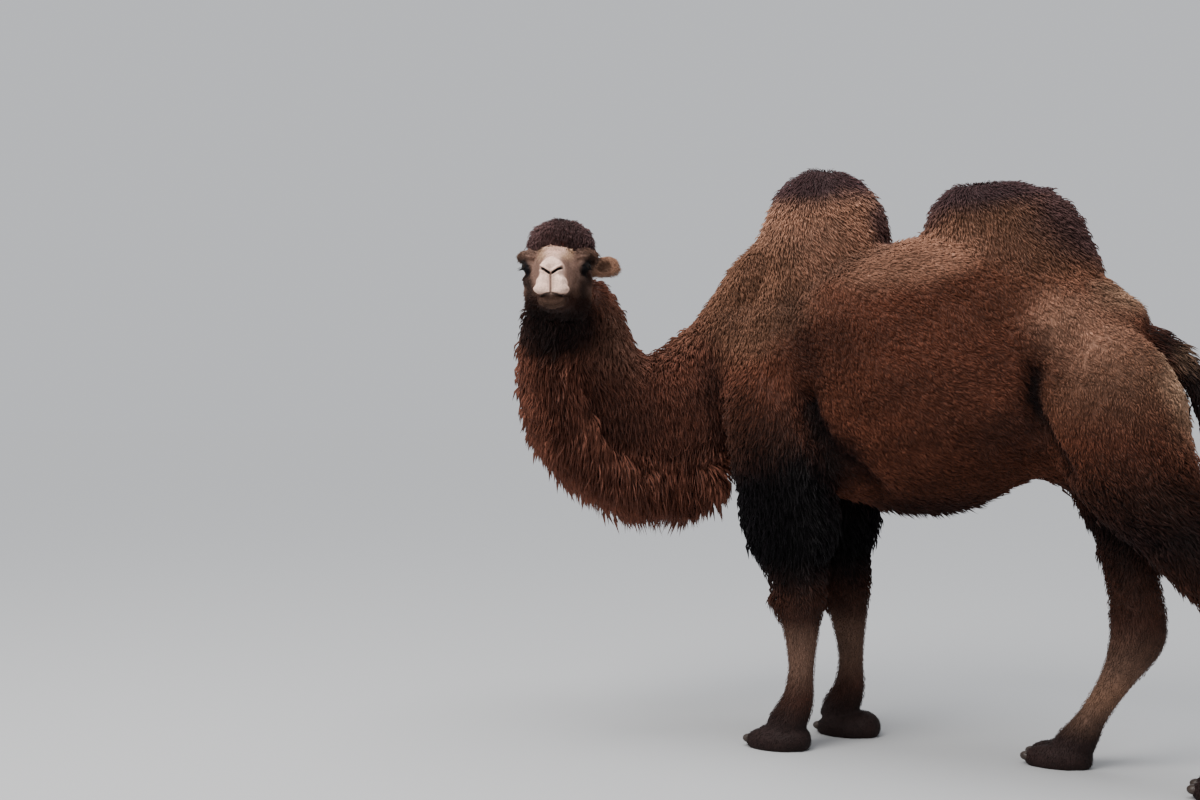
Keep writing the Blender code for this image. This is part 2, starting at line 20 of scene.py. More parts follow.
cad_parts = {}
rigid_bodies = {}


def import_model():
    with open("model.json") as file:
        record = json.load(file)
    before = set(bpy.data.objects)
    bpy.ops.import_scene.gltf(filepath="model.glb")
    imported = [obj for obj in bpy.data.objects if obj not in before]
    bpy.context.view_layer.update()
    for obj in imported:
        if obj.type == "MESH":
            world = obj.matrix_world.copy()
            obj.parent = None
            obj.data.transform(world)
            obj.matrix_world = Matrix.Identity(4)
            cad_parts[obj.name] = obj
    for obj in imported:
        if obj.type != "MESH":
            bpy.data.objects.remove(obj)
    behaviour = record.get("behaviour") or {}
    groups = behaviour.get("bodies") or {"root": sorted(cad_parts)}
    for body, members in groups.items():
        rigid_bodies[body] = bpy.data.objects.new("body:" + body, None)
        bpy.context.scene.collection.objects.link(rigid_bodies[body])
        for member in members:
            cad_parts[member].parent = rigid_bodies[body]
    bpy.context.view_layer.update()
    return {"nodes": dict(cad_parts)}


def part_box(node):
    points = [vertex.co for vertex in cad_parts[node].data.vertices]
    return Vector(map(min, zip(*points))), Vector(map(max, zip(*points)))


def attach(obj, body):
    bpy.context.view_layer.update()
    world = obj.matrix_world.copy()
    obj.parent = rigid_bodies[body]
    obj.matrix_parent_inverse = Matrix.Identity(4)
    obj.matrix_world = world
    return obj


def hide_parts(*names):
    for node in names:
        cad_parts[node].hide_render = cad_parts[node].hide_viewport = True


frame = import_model()
start = time.time()

# %% [markdown]
# The animal has its own plan: x runs backwards from a point midway between the fore feet, y to
# its right and z up. The head has another plan: x forwards from a point midway between the
# eyes, y to its left and z up. The left eye's place in the solids ties both plans to them.

# %% Two plans, and how they meet the solids
HEAD_HEADING = 118.0  # degrees that the head is turned to the left of the body
HEAD_ORIGIN = Vector((-0.765, -0.632, 1.787))
EYE = Vector((0.026, 0.106, 0.0))  # the left eye's middle in the head's plan
EYE_RADIUS = 0.021


def head_matrix():
    """The head's plan in the body's; the body faces -x."""
    turn = math.radians(HEAD_HEADING)
    forward = Vector((-math.cos(turn), -math.sin(turn), 0))
    left = Vector((-forward.y, forward.x, 0))
    axes = Matrix((forward, left, Vector((0, 0, 1)))).transposed().to_4x4()
    return Matrix.Translation(HEAD_ORIGIN) @ axes


def in_head(spots):
    """Points of the animal's plan in the head's."""
    return (spots - HEAD_SPOT) @ HEAD_AXES.T


def from_head(spots):
    """Points of the head's plan in the animal's."""
    return spots @ HEAD_AXES + HEAD_SPOT


def eye_centre(side):
    """The middle of the left eye (side 1) or the right one (side -1), in the head's plan."""
    return np.array((EYE.x, side * EYE.y, EYE.z))


BODY = Matrix.Identity(4)
HEAD = head_matrix()
HEAD_AXES = np.array(HEAD.to_3x3()).T  # a row for each axis
HEAD_SPOT = np.array(HEAD.translation)
eye_low, eye_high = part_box("eye_left")
PLACE = (eye_low + eye_high) / 2 - HEAD @ EYE  # from the animal's plan to the solids
PLACE.z = 0.0
print("the plan is moved by", [round(c, 4) for c in PLACE])

# %% [markdown]
# The camera comes early, because every later choice is judged through it. It stands near the
# camel's hip at the height of a person's chest and looks a little towards its head, so that
# the tail and one hind foot are cut by the edge of the view.

# %% Place the camera
CAMERA_SPOT = Vector((1.877, -4.886, 1.22))
CAMERA_AIM = Vector((-0.5, 0.866, math.tan(math.radians(0.85))))
SENSOR = 36.0  # millimetres, as the lens
LENS = 40.5
FAR_END = 400.0  # metres, well past the floor's edge


def linked(name, data):
    """A new object in the scene."""
    thing = bpy.data.objects.new(name, data)
    bpy.context.scene.collection.objects.link(thing)
    return thing


def add_camera():
    data = bpy.data.cameras.new("camera")
    data.sensor_width = SENSOR
    data.lens = LENS
    data.clip_end = FAR_END
    camera = linked("camera", data)
    camera.location = CAMERA_SPOT + PLACE
    camera.rotation_euler = CAMERA_AIM.to_track_quat("-Z", "Y").to_euler()
    bpy.context.scene.camera = camera
    return camera


camera = add_camera()
print("the camera stands at", [round(c, 3) for c in camera.location])

# %% [markdown]
# ## The masses of the body
# A sculptor starts with big simple masses. Each one here is a row of stations, and a station
# is an ellipse: its middle, half its width ("side"), half its height ("depth"), how deep the
# coat is there ("coat"), how long its locks are ("hair") and which way it heads. The sizes
# reach out to the tips of the coat, as the solids do. The skin takes the coat's depth off.
# Only these tables are in millimetres. Everything else is in metres.

# %% The rows of stations for the body
Station = namedtuple("Station", "x y z side depth coat hair heading", defaults=[0.0])


def stations(*rows):
    """A table whose rows give seven sizes in millimetres and perhaps a heading in degrees."""
    return [Station(*(size / 1000 for size in row[:7]), *row[7:]) for row in rows]


TRUNK = stations(
    (-310, 0, 1310, 100, 140, 17, 41),
    (-250, 0, 1320, 200, 270, 17, 39),
    (-150, 0, 1350, 275, 370, 15, 36),
    (30, 0, 1380, 330, 440, 14, 33),
    (250, 0, 1400, 375, 490, 14, 32),
    (450, 0, 1400, 395, 495, 14, 32),
    (650, 0, 1405, 385, 470, 14, 32),
    (850, 0, 1390, 345, 400, 13, 30),
    (1030, 0, 1340, 300, 340, 12, 27),
    (1170, 0, 1310, 240, 270, 12, 26),
    (1270, 0, 1320, 130, 160, 12, 26),
)
HUMP_FRONT = stations(
    (50, 0, 1600, 270, 330, 18, 45),
    (40, 0, 1800, 205, 285, 20, 48),
    (45, 0, 1950, 160, 250, 18, 42),
    (45, 0, 2050, 130, 210, 20, 46),
    (50, 0, 2110, 100, 165, 20, 46),
    (55, 0, 2155, 70, 110, 18, 44),
    (60, 0, 2180, 30, 45, 14, 40),
)
HUMP_REAR = stations(
    (750, 0, 1560, 270, 350, 16, 42),
    (735, 0, 1720, 220, 320, 18, 45),
    (710, 0, 1840, 185, 290, 18, 38),
    (680, 0, 1930, 160, 265, 20, 44),
    (660, 0, 2000, 130, 215, 20, 46),
    (655, 0, 2050, 90, 150, 18, 44),
    (655, 0, 2080, 40, 70, 14, 40),
)
WITHERS_RIDGE = stations(
    (0, 0, 1840, 150, 130, 17, 40),
    (-150, 0, 1770, 170, 160, 19, 44),
    (-270, 0, 1650, 170, 150, 20, 48),
    (-400, 0, 1530, 150, 110, 22, 50),
    (-500, 0, 1450, 120, 80, 22, 50),
)
NECK = stations(
    (0, 0, 1420, 270, 360, 14, 32, 0),
    (-220, 0, 1420, 240, 350, 18, 40, 0),
    (-420, -10, 1335, 205, 255, 22, 54, 5),
    (-590, -50, 1245, 185, 245, 24, 61, 20),
    (-740, -130, 1260, 175, 240, 24, 61, 40),
    (-830, -230, 1360, 170, 235, 24, 61, 55),
    (-850, -310, 1490, 160, 235, 24, 58, 68),
    (-835, -380, 1610, 150, 215, 21, 47, 82),
    (-820, -450, 1700, 130, 160, 14, 29, 100),
)
THROAT_MANE = stations(
    (-450, -20, 1120, 100, 90, 45, 111, 0),
    (-520, -35, 1010, 130, 150, 59, 145, 10),
    (-610, -60, 980, 140, 160, 63, 153, 22),
    (-700, -130, 1000, 140, 155, 59, 145, 40),
    (-820, -250, 1090, 140, 150, 50, 128, 60),
    (-885, -370, 1240, 135, 140, 45, 111, 75),
    (-895, -460, 1420, 130, 125, 41, 93, 95),
    (-860, -530, 1560, 112, 90, 26, 50, 110),
    (-830, -560, 1630, 100, 60, 18, 34, 115),
)
TAIL = stations(
    (1120, 0, 1500, 90, 70, 16, 34),
    (1210, 0, 1485, 70, 60, 16, 43),
    (1300, 0, 1415, 55, 55, 20, 60),
    (1370, 0, 1300, 47, 50, 22, 76),
    (1420, 5, 1160, 43, 45, 24, 93),
    (1445, 10, 1000, 50, 50, 30, 111),
    (1455, 15, 860, 50, 50, 32, 102),
    (1455, 20, 760, 20, 20, 12, 51),
)
BODY_ROWS = {
    "trunk": TRUNK,
    "hump_front": HUMP_FRONT,
    "hump_rear": HUMP_REAR,
    "withers": WITHERS_RIDGE,
    "neck": NECK,
    "mane": THROAT_MANE,
    "tail": TAIL,
}
print("body stations:", {name: len(row) for name, row in BODY_ROWS.items()})

# %% [markdown]
# Each leg is a row too. One table serves both fore legs, mirrored and moved. The hind legs
# stand apart in mid stride, so each has a table of its own. The coat is deepest on the upper
# fore legs, where the long black "chaps" hang, and thinnest on the shins.

# %% The rows of stations for the legs
FORE_LEG = stations(
    (-20, 140, 1500, 100, 160, 18, 35),
    (-50, 205, 1300, 140, 210, 18, 37),
    (-40, 215, 1120, 150, 205, 22, 46),
    (-25, 200, 950, 145, 195, 34, 69),
    (-15, 190, 830, 130, 180, 37, 75),
    (-5, 180, 710, 105, 125, 27, 58),
    (12, 175, 620, 90, 102, 20, 44),
    (14, 170, 540, 88, 100, 12, 24),
    (20, 170, 450, 66, 74, 8, 18),
    (20, 170, 300, 52, 51, 6, 16),
    (5, 170, 180, 62, 64, 8, 19),
    (-35, 170, 90, 70, 78, 8, 18),
    (-55, 170, 40, 70, 80, 8, 18),
)
HIND_LEG_RIGHT = stations(
    (1000, 160, 1440, 120, 190, 14, 26),
    (1060, 190, 1280, 155, 240, 14, 26),
    (1090, 180, 1100, 145, 230, 18, 32),
    (1090, 150, 950, 120, 170, 24, 45),
    (1110, 120, 800, 92, 110, 20, 38),
    (1135, 90, 660, 80, 92, 12, 22),
    (1150, 80, 540, 72, 98, 8, 18),
    (1145, 75, 460, 66, 94, 7, 17),
    (1085, 75, 330, 57, 60, 6, 15),
    (1010, 75, 200, 51, 50, 6, 15),
    (960, 75, 110, 60, 66, 6, 16),
    (930, 75, 60, 64, 76, 8, 16),
    (915, 75, 20, 62, 74, 8, 16),
)
HIND_LEG_LEFT = stations(
    (1000, -160, 1440, 120, 190, 14, 26),
    (1080, -200, 1300, 155, 240, 14, 26),
    (1140, -200, 1150, 155, 230, 18, 30),
    (1215, -190, 1000, 140, 185, 24, 45),
    (1305, -175, 870, 115, 135, 22, 42),
    (1400, -150, 740, 100, 110, 16, 30),
    (1475, -130, 620, 85, 96, 10, 19),
    (1535, -120, 520, 74, 90, 8, 18),
    (1550, -115, 430, 64, 78, 7, 17),
    (1535, -110, 300, 52, 53, 6, 15),
    (1515, -110, 180, 58, 58, 6, 15),
    (1490, -110, 90, 66, 72, 8, 16),
    (1475, -110, 40, 66, 76, 8, 16),
)
FORE_LEFT_SHIFT = (-0.005, 0.0)  # backwards and to the right
FORE_RIGHT_SHIFT = (0.085, -0.005)  # at the ground; the leg leans, so less at the shoulder
LEAN_HEIGHT = 1.5  # where a leaning leg's shift has faded to nothing


def moved(table, shift):
    return [s._replace(x=s.x + shift[0], y=s.y + shift[1]) for s in table]


def leaning(table, shift):
    """Moves a leg's stations, the most at the ground and the least at the shoulder."""
    pairs = [(s, 1 - max(s.z, 0) / LEAN_HEIGHT) for s in table]
    return [s._replace(x=s.x + shift[0] * p, y=s.y + shift[1] * p) for s, p in pairs]


def mirrored(table):
    return [s._replace(y=-s.y, heading=-s.heading) for s in table]


LEGS = {
    "fore_left": moved(mirrored(FORE_LEG), FORE_LEFT_SHIFT),
    "fore_right": leaning(FORE_LEG, FORE_RIGHT_SHIFT),
    "hind_left": HIND_LEG_LEFT,
    "hind_right": HIND_LEG_RIGHT,
}
Foot = namedtuple("Foot", "x y half_length half_width")
FEET = {
    "fore_left": Foot(-0.067, -0.17, 0.122, 0.095),
    "fore_right": Foot(0.085, 0.165, 0.125, 0.095),
    "hind_left": Foot(1.455, -0.11, 0.115, 0.085),
    "hind_right": Foot(0.89, 0.075, 0.118, 0.085),
}
print("leg stations:", {name: len(row) for name, row in LEGS.items()})

# %% [markdown]
# The head's rows use the head's own plan. A camel's skull is long and narrows to a small
# muzzle with a split upper lip. The topknot is a cap of long wool, and the ears are small
# rounded leaves. The left one stands out and the right one is laid back.

# %% The rows of stations for the head
SKULL = stations(
    (-250, 0, -40, 85, 90, 12, 30),
    (-170, 0, -40, 118, 130, 12, 30),
    (-90, 0, -45, 125, 140, 9, 22),
    (-10, 0, -40, 117, 125, 6, 14),
    (60, 0, -45, 92, 108, 5, 12),
    (130, 0, -50, 75, 92, 4, 10),
    (200, 0, -52, 54, 77, 3, 6),
    (260, 0, -50, 46, 62, 2, 4),
    (295, 0, -52, 40, 50, 2, 3),
    (315, 0, -55, 26, 34, 2, 3),
)
LIP_PADS = stations(
    (170, 0, -78, 50, 40, 3, 6),
    (240, 0, -82, 57, 38, 2, 4),
    (285, 0, -84, 56, 34, 2, 3),
    (318, 0, -85, 42, 26, 2, 3),
)
UPPER_LIP = stations(
    (170, 0, -103, 50, 28, 3, 6),
    (240, 0, -107, 63, 25, 2, 4),
    (285, 0, -108, 67, 23, 2, 3),
    (318, 0, -107, 52, 22, 2, 3),
)
CHIN = stations(
    (40, 0, -125, 60, 36, 6, 18),
    (140, 0, -133, 50, 31, 5, 16),
    (220, 0, -138, 53, 28, 4, 12),
    (290, 0, -140, 48, 23, 3, 8),
)
FACE_BALLS = (  # centre and radii of the brow, the cheekbone and the lids, on the left
    ((0.000, 0.100, 0.034), (0.060, 0.046, 0.024)),
    ((-0.010, 0.094, -0.046), (0.066, 0.036, 0.028)),
    ((0.022, 0.098, -0.002), (0.042, 0.030, 0.032)),
)
TOPKNOT = stations(
    (-70, 12, 10, 100, 80, 12, 33),
    (-70, 12, 55, 122, 100, 16, 41),
    (-70, 14, 85, 127, 112, 17, 40),
    (-75, 18, 120, 114, 106, 16, 40),
    (-80, 22, 150, 88, 88, 15, 38),
    (-85, 26, 174, 52, 55, 12, 34),
    (-85, 28, 186, 20, 20, 9, 30),
)
EAR_LEFT = stations(
    (-115, 95, 5, 18, 22, 4, 26, 90),
    (-125, 130, 10, 18, 34, 4, 26, 90),
    (-138, 170, 18, 17, 42, 4, 24, 90),
    (-150, 205, 22, 14, 38, 3, 22, 90),
    (-158, 230, 24, 8, 18, 2, 19, 90),
)
EAR_RIGHT = stations(
    (-125, -90, 10, 18, 22, 4, 22, 25),
    (-157, -108, 22, 18, 34, 4, 22, 25),
    (-193, -120, 34, 17, 40, 4, 20, 25),
    (-226, -128, 42, 14, 36, 3, 18, 25),
    (-249, -132, 46, 8, 18, 2, 15, 25),
)
HEAD_ROWS = {
    "skull": SKULL,
    "pads": LIP_PADS,
    "lip": UPPER_LIP,
    "chin": CHIN,
    "topknot": TOPKNOT,
    "ear_left": EAR_LEFT,
    "ear_right": EAR_RIGHT,
}
print("head stations:", {name: len(row) for name, row in HEAD_ROWS.items()})

# %% [markdown]
# A smooth curve through the stations gives the finer row that a mass is drawn from. The
# Catmull-Rom rule passes through every station, so a named size stays true. Each point of the
# row keeps its own axes, because the coat will need to know where "along the neck" or "down
# the leg" points.

# %% Turn stations into smooth rows
Row = namedtuple("Row", "centre along side up wide deep coat hair")
ROW_STEPS = 6  # points of the row for each station


def unit(vectors):
    return vectors / np.maximum(np.linalg.norm(vectors, axis=-1, keepdims=True), 1e-9)


def dot(a, b):
    return np.sum(a * b, axis=-1, keepdims=True)


def between(a, b, c, d, t):
    """A Catmull-Rom curve's value at t between b and c."""
    line = 2 * b + (c - a) * t
    return 0.5 * (line + (2 * a - 5 * b + 4 * c - d) * t**2 + (3 * b - a - 3 * c + d) * t**3)


def spine(table, place=BODY):
    """The smooth row through a table of stations, with its axes, in the animal's plan."""
    table = np.array(table, float)
    near = [np.clip(np.arange(len(table) - 1) + k, 0, len(table) - 1) for k in (-1, 0, 1, 2)]
    steps = [between(*(table[i] for i in near), s / ROW_STEPS) for s in range(ROW_STEPS)]
    fine = np.vstack((np.stack(steps, 1).reshape(-1, table.shape[1]), table[-1:]))
    centre = fine[:, :3]
    along = unit(np.gradient(centre, axis=0))
    turn = np.radians(fine[:, 7])
    side = np.stack((-np.sin(turn), np.cos(turn), 0 * turn), 1)
    side = unit(side - dot(side, along) * along)
    up = np.cross(along, side)
    axes = np.array(place.to_3x3()).T
    centre = centre @ axes + np.array(place.translation)
    return Row(centre, along @ axes, side @ axes, up @ axes, *fine[:, 3:7].T)


ROWS = {name: spine(table) for name, table in (BODY_ROWS | LEGS).items()}
ROWS.update({name: spine(table, HEAD) for name, table in HEAD_ROWS.items()})
print(len(ROWS), "rows with", sum(len(row.centre) for row in ROWS.values()), "points")

# %% [markdown]
# ## The skin
# Each row becomes a closed loft of ellipses, drawn in by the depth of its coat. A Remesh
# modifier in voxel mode then melts the lofts into one surface, and a few rounds of smoothing
# turn the hard valleys between them into muscle. The big masses are melted and smoothed
# first, on their own, so that the lips and ears of the second melt stay crisp.

# %% Helpers to loft and melt
RING_POINTS = 28
BALL_CUTS = {"u_segments": 24, "v_segments": 16}
BODY_VOXEL = 0.014
BODY_SMOOTHING = 14
SKIN_VOXEL = 0.0055
SKIN_SMOOTHING = 7
LEG_OVERLAP = (6, 4)  # the first melt takes a leg's first six stations, the second all past four


def loft_into(mesh, row, first=0, last=None):
    """Adds a closed loft to a bmesh, drawn in by the coat's depth all round and at its ends."""
    travel = np.linalg.norm(np.diff(row.centre, axis=0), axis=1)
    passed = np.concatenate(([0.0], np.cumsum(travel)))
    inside = (passed >= row.coat[0]) & (passed[-1] - passed >= row.coat[-1])
    angles = np.linspace(0, 2 * math.pi, RING_POINTS, endpoint=False)
    rings = []
    for i in np.flatnonzero(inside)[first:last]:
        across = np.cos(angles)[:, None] * row.side[i] * (row.wide[i] - row.coat[i])
        height = np.sin(angles)[:, None] * row.up[i] * (row.deep[i] - row.coat[i])
        rings.append([mesh.verts.new(spot) for spot in row.centre[i] + across + height])
    for a, b in zip(rings, rings[1:]):
        for k in range(RING_POINTS):
            n = (k + 1) % RING_POINTS
            mesh.faces.new((a[k], a[n], b[n], b[k]))
    mesh.faces.new(reversed(rings[0]))
    mesh.faces.new(rings[-1])


def ball_into(mesh, centre, radii, place=BODY):
    matrix = place @ Matrix.Translation(centre) @ Matrix.Diagonal((*radii, 1))
    bmesh.ops.create_uvsphere(mesh, **BALL_CUTS, radius=1, matrix=matrix)


def thing_from(mesh, name):
    """A linked object made of a finished bmesh."""
    data = bpy.data.meshes.new(name)
    mesh.to_mesh(data)
    mesh.free()
    return linked(name, data)


def bake(thing):
    """Turns an object's modifiers into its mesh."""
    graph = bpy.context.evaluated_depsgraph_get()
    data = bpy.data.meshes.new_from_object(thing.evaluated_get(graph))
    thing.modifiers.clear()
    old = thing.data
    thing.data = data
    bpy.data.meshes.remove(old)
    data.name = thing.name


def melt(thing, voxel, rounds):
    remesh = thing.modifiers.new("Melt", "REMESH")
    remesh.mode = "VOXEL"
    remesh.voxel_size = voxel
    soften = thing.modifiers.new("Soften", "SMOOTH")
    soften.factor = 0.5
    soften.iterations = rounds
    bake(thing)


print("a ring has", RING_POINTS, "points; voxels:", BODY_VOXEL, "and", SKIN_VOXEL)

# %% [markdown]
# A foot is four balls: two toes side by side, a heel and an instep. They sink a little below
# the ground, and the sole is pressed flat later.

# %% Melt the big masses, then everything
BIG_MASSES = ("trunk", "hump_front", "hump_rear", "withers", "neck")
FOOT_COAT = 0.006
HEAD_COAT = 0.005
TOE_AHEAD = 0.02  # how far the toes' middles lie before the foot's
TOE_SPREAD = 0.48  # from the foot's middle to a toe's, in its half width
TOE_LENGTH = 0.86  # in its half length
FootBall = namedtuple("FootBall", "back ahead aside up long wide high")
FOOT_BALLS = (  # back and long are in the foot's half length, aside and wide in its half width
    FootBall(0.0, TOE_AHEAD, -TOE_SPREAD, 0.026, TOE_LENGTH, 0.54, 0.058),
    FootBall(0.0, TOE_AHEAD, TOE_SPREAD, 0.026, TOE_LENGTH, 0.54, 0.058),
    FootBall(0.42, 0.0, 0.0, 0.035, 0.58, 0.78, 0.065),  # heel
    FootBall(0.10, 0.0, 0.0, 0.045, 0.66, 0.72, 0.058),  # instep
)


def melted(mesh, name, voxel, rounds):
    """An object of lofts and balls that are melted into one closed surface."""
    bmesh.ops.recalc_face_normals(mesh, faces=mesh.faces)
    thing = thing_from(mesh, name)
    melt(thing, voxel, rounds)
    return thing


def body_masses():
    mesh = bmesh.new()
    for name in BIG_MASSES:
        loft_into(mesh, ROWS[name])
    for name in LEGS:
        loft_into(mesh, ROWS[name], last=LEG_OVERLAP[0] * ROW_STEPS)
    return melted(mesh, "body", BODY_VOXEL, BODY_SMOOTHING)


def foot_into(mesh, foot):
    thin = Vector((FOOT_COAT, FOOT_COAT, FOOT_COAT))
    for ball in FOOT_BALLS:
        x = foot.x + foot.half_length * ball.back - ball.ahead
        centre = Vector((x, foot.y + foot.half_width * ball.aside, ball.up))
        radii = Vector((foot.half_length * ball.long, foot.half_width * ball.wide, ball.high))
        ball_into(mesh, centre, radii - thin)


def melted_skin():
    body = body_masses()
    mesh = bmesh.new()
    mesh.from_mesh(body.data)
    bpy.data.objects.remove(body)
    for name in ("mane", "tail", *HEAD_ROWS):
        loft_into(mesh, ROWS[name])
    for name in LEGS:
        loft_into(mesh, ROWS[name], first=LEG_OVERLAP[1] * ROW_STEPS)
    for foot in FEET.values():
        foot_into(mesh, foot)
    for (x, y, z), radii in FACE_BALLS:
        drawn_in = [r - HEAD_COAT for r in radii]
        ball_into(mesh, (x, y, z), drawn_in, HEAD)
        ball_into(mesh, (x, -y, z), drawn_in, HEAD)
    return melted(mesh, "skin", SKIN_VOXEL, SKIN_SMOOTHING)


skin = melted_skin()
print("melted skin:", len(skin.data.polygons), "faces after", round(time.time() - start, 1), "s")

# %% [markdown]
# The melted skin has far more faces than the body needs under its wool, while the face needs
# all of them and more. Decimate can spare part of a mesh through a vertex group. Then the
# face alone is cut finer, with a second round about the eyes, nostrils and lips.

# %% Spend the skin's faces on the head
BODY_FACES = 90000  # triangles left on the whole animal before the face is cut finer
FACE_MIDDLE = Vector((0.08, 0, -0.05))  # in the head's plan
FACE_REACH = 0.26
SPARING_FADE = 0.06
SPARING_LEVELS = 5
SPARING_MOST = 0.995
SNOUT_MIDDLE = (0.14, 0, -0.05)
SNOUT_REACH = 0.23
SNOUT_BACK = -0.03
LIPS_BACK = 0.262
EYE_AREA = 0.048


def positions(data):
    """A mesh's vertices as an array."""
    spots = np.empty(len(data.vertices) * 3)
    data.vertices.foreach_get("co", spots)
    return spots.reshape(-1, 3)


def set_positions(data, spots):
    data.vertices.foreach_set("co", spots.astype(np.float32).ravel())
    data.update()


def thin_out(thing, budget):
    spots = in_head(positions(thing.data))
    far = np.linalg.norm(spots - np.array(FACE_MIDDLE), axis=1)
    weight = np.clip((FACE_REACH + SPARING_FADE - far) / SPARING_FADE, 0, 1)
    sparing = thing.vertex_groups.new(name="sparing")
    for level in range(1, SPARING_LEVELS + 1):
        chosen = np.flatnonzero(np.round(weight * SPARING_LEVELS) == level)
        sparing.add(chosen.tolist(), level / SPARING_LEVELS * SPARING_MOST, "REPLACE")
    thin = thing.modifiers.new("Thin", "DECIMATE")
    thin.ratio = budget / (2 * len(thing.data.polygons))
    thin.vertex_group = "sparing"
    thin.vertex_group_factor = 1.0
    thin.invert_vertex_group = True
    bake(thing)
    thing.vertex_groups.clear()


def cut_finer(thing, near):
    """Halves the edges of the faces whose corners all pass a test."""
    mesh = bmesh.new()
    mesh.from_mesh(thing.data)
    chosen = near(in_head(positions(thing.data)))
    edges = [e for e in mesh.edges if chosen[e.verts[0].index] and chosen[e.verts[1].index]]
    bmesh.ops.subdivide_edges(mesh, edges=edges, cuts=1, use_grid_fill=True, smooth=0.0)
    bmesh.ops.triangulate(mesh, faces=[f for f in mesh.faces if len(f.verts) > 4])
    mesh.to_mesh(thing.data)
    mesh.free()


def on_the_snout(s):
    return (s[:, 0] > SNOUT_BACK) & (np.linalg.norm(s - SNOUT_MIDDLE, axis=1) < SNOUT_REACH)


def by_the_eyes(s):
    return np.linalg.norm((s[:, 0] - EYE.x, abs(s[:, 1]) - EYE.y, s[:, 2]), axis=0) < EYE_AREA


def by_eyes_or_lips(s):
    return by_the_eyes(s) | (s[:, 0] > LIPS_BACK) & (s[:, 2] < 0.0)


thin_out(skin, BODY_FACES)
for test in (on_the_snout, by_eyes_or_lips):
    cut_finer(skin, test)
print("skin:", len(skin.data.polygons), "faces after", round(time.time() - start, 1), "s")

# %% [markdown]
# ## The face
# With enough points to work with, the face is sculpted by rules and not by hand. A dent moves
# points along their normals, most in its middle and not at all at its edge. A groove does the
# same along a path. Both take the same numbers a sculptor would name: where, how wide, how
# deep.

# %% Sculpting tools
GROOVE_ENDS = (8, 0.4)  # how fast a groove fades towards its ends, and what is left there


def vertex_normals(data):
    flat = np.empty(len(data.vertices) * 3)
    data.vertex_normals.foreach_get("vector", flat)
    return flat.reshape(-1, 3)


def soft(part):
    """A smooth step from 0 to 1."""
    part = np.clip(part, 0, 1)
    return part * part * (3 - 2 * part)


def dent(spots, centre, radii, height):
    """How far points rise, or sink where the height is below zero, inside an ellipsoid."""
    far = np.linalg.norm((spots - np.array(centre)) / np.array(radii), axis=1)
    return height * soft(1 - far)


def with_twin_dents(rise, spots, forms):
    """A rise with some forms of the left side, and their mirror images, added to it."""
    for (x, y, z), radii, height in forms:
        pair = dent(spots, (x, y, z), radii, height) + dent(spots, (x, -y, z), radii, height)
        rise = rise + pair
    return rise


def from_path(spots, path):
    """Each point's distance from a path of straight pieces, and how far along it is."""
    best = np.full(len(spots), np.inf)
    passed = np.zeros(len(spots))
    path = [np.array(point, float) for point in path]
    for i, (a, b) in enumerate(zip(path, path[1:])):
        t = np.clip((spots - a) @ (b - a) / ((b - a) @ (b - a)), 0, 1)
        far = np.linalg.norm(spots - a - t[:, None] * (b - a), axis=1)
        closer = far < best
        best[closer] = far[closer]
        passed[closer] = (i + t[closer]) / (len(path) - 1)
    return best, passed


def groove(spots, path, half_width, depth, heed=(1, 1, 1)):
    """How far points sink along a path; heed says how much each axis counts in the distance."""
    heed = np.array(heed)
    far, passed = from_path(spots * heed, [point * heed for point in np.array(path)])
    fade = soft(np.minimum(passed, 1 - passed) * GROOVE_ENDS[0] + GROOVE_ENDS[1])
    return -depth * soft(1.2 - 1.2 * far / half_width) * fade


def twinned(path):
    """A path on the left side and its mirror image on the right."""
    return path, [(x, -y, z) for x, y, z in path]


print("a dent of 10 mm at its own centre:", dent(np.zeros((1, 3)), (0, 0, 0), (1, 1, 1), 0.010))

# %% [markdown]
# A camel shuts its nostrils to slits against sand. They slant down to the middle, where a
# cleft parts the upper lip into two soft lobes. The lips are grooved all round the front, and
# a hollow runs down from the inner corner of each eye.

# %% Sculpt the muzzle
NOSTRIL = [(0.292, 0.045, -0.031), (0.304, 0.026, -0.041), (0.314, 0.003, -0.056)]
PHILTRUM = [(0.316, 0, -0.054), (0.322, 0, -0.075), (0.325, 0, -0.100), (0.318, 0, -0.127)]
MOUTH_SIDE = [(0.150, 0.056, -0.118), (0.200, 0.060, -0.125), (0.260, 0.060, -0.129)]
MOUTH_FRONT = [(0.280, 0.068, -0.126), (0.295, 0.034, -0.132), (0.310, 0.0, -0.127)]
FROM_FRONT = (0.15, 1, 1)
FROM_SIDE = (1, 0.25, 1)
ALL_ROUND = (1, 1, 1)
TEAR_HOLLOW = [(0.062, 0.098, -0.012), (0.090, 0.086, -0.040), (0.120, 0.074, -0.075)]
JAW_LINE = [(-0.06, 0.100, -0.110), (0.03, 0.092, -0.100), (0.12, 0.066, -0.098)]
CHIN_FORM = ((0.290, 0, -0.150), (0.050, 0.050, 0.022), 0.005)  # centre, radii and height
MUZZLE_FORMS = [  # centre and radii on the left, and how high each form rises
    ((-0.03, 0.085, -0.150), (0.14, 0.10, 0.12), 0.028),  # fleece of the throat
    ((0.318, 0.030, -0.085), (0.022, 0.024, 0.034), 0.004),  # front of the upper lip
    ((0.300, 0.036, -0.108), (0.045, 0.032, 0.030), 0.006),  # lobe of the upper lip
    ((0.292, 0.030, -0.020), (0.030, 0.026, 0.016), 0.004),  # rim above the nostril
    ((0.235, 0.046, -0.055), (0.050, 0.030, 0.030), -0.007),  # hollow behind the nostril
    ((0.150, 0.060, 0.010), (0.080, 0.030, 0.040), -0.004),  # side of the bridge
    ((0.090, 0.095, -0.075), (0.070, 0.030, 0.040), -0.006),  # hollow of the cheek
]
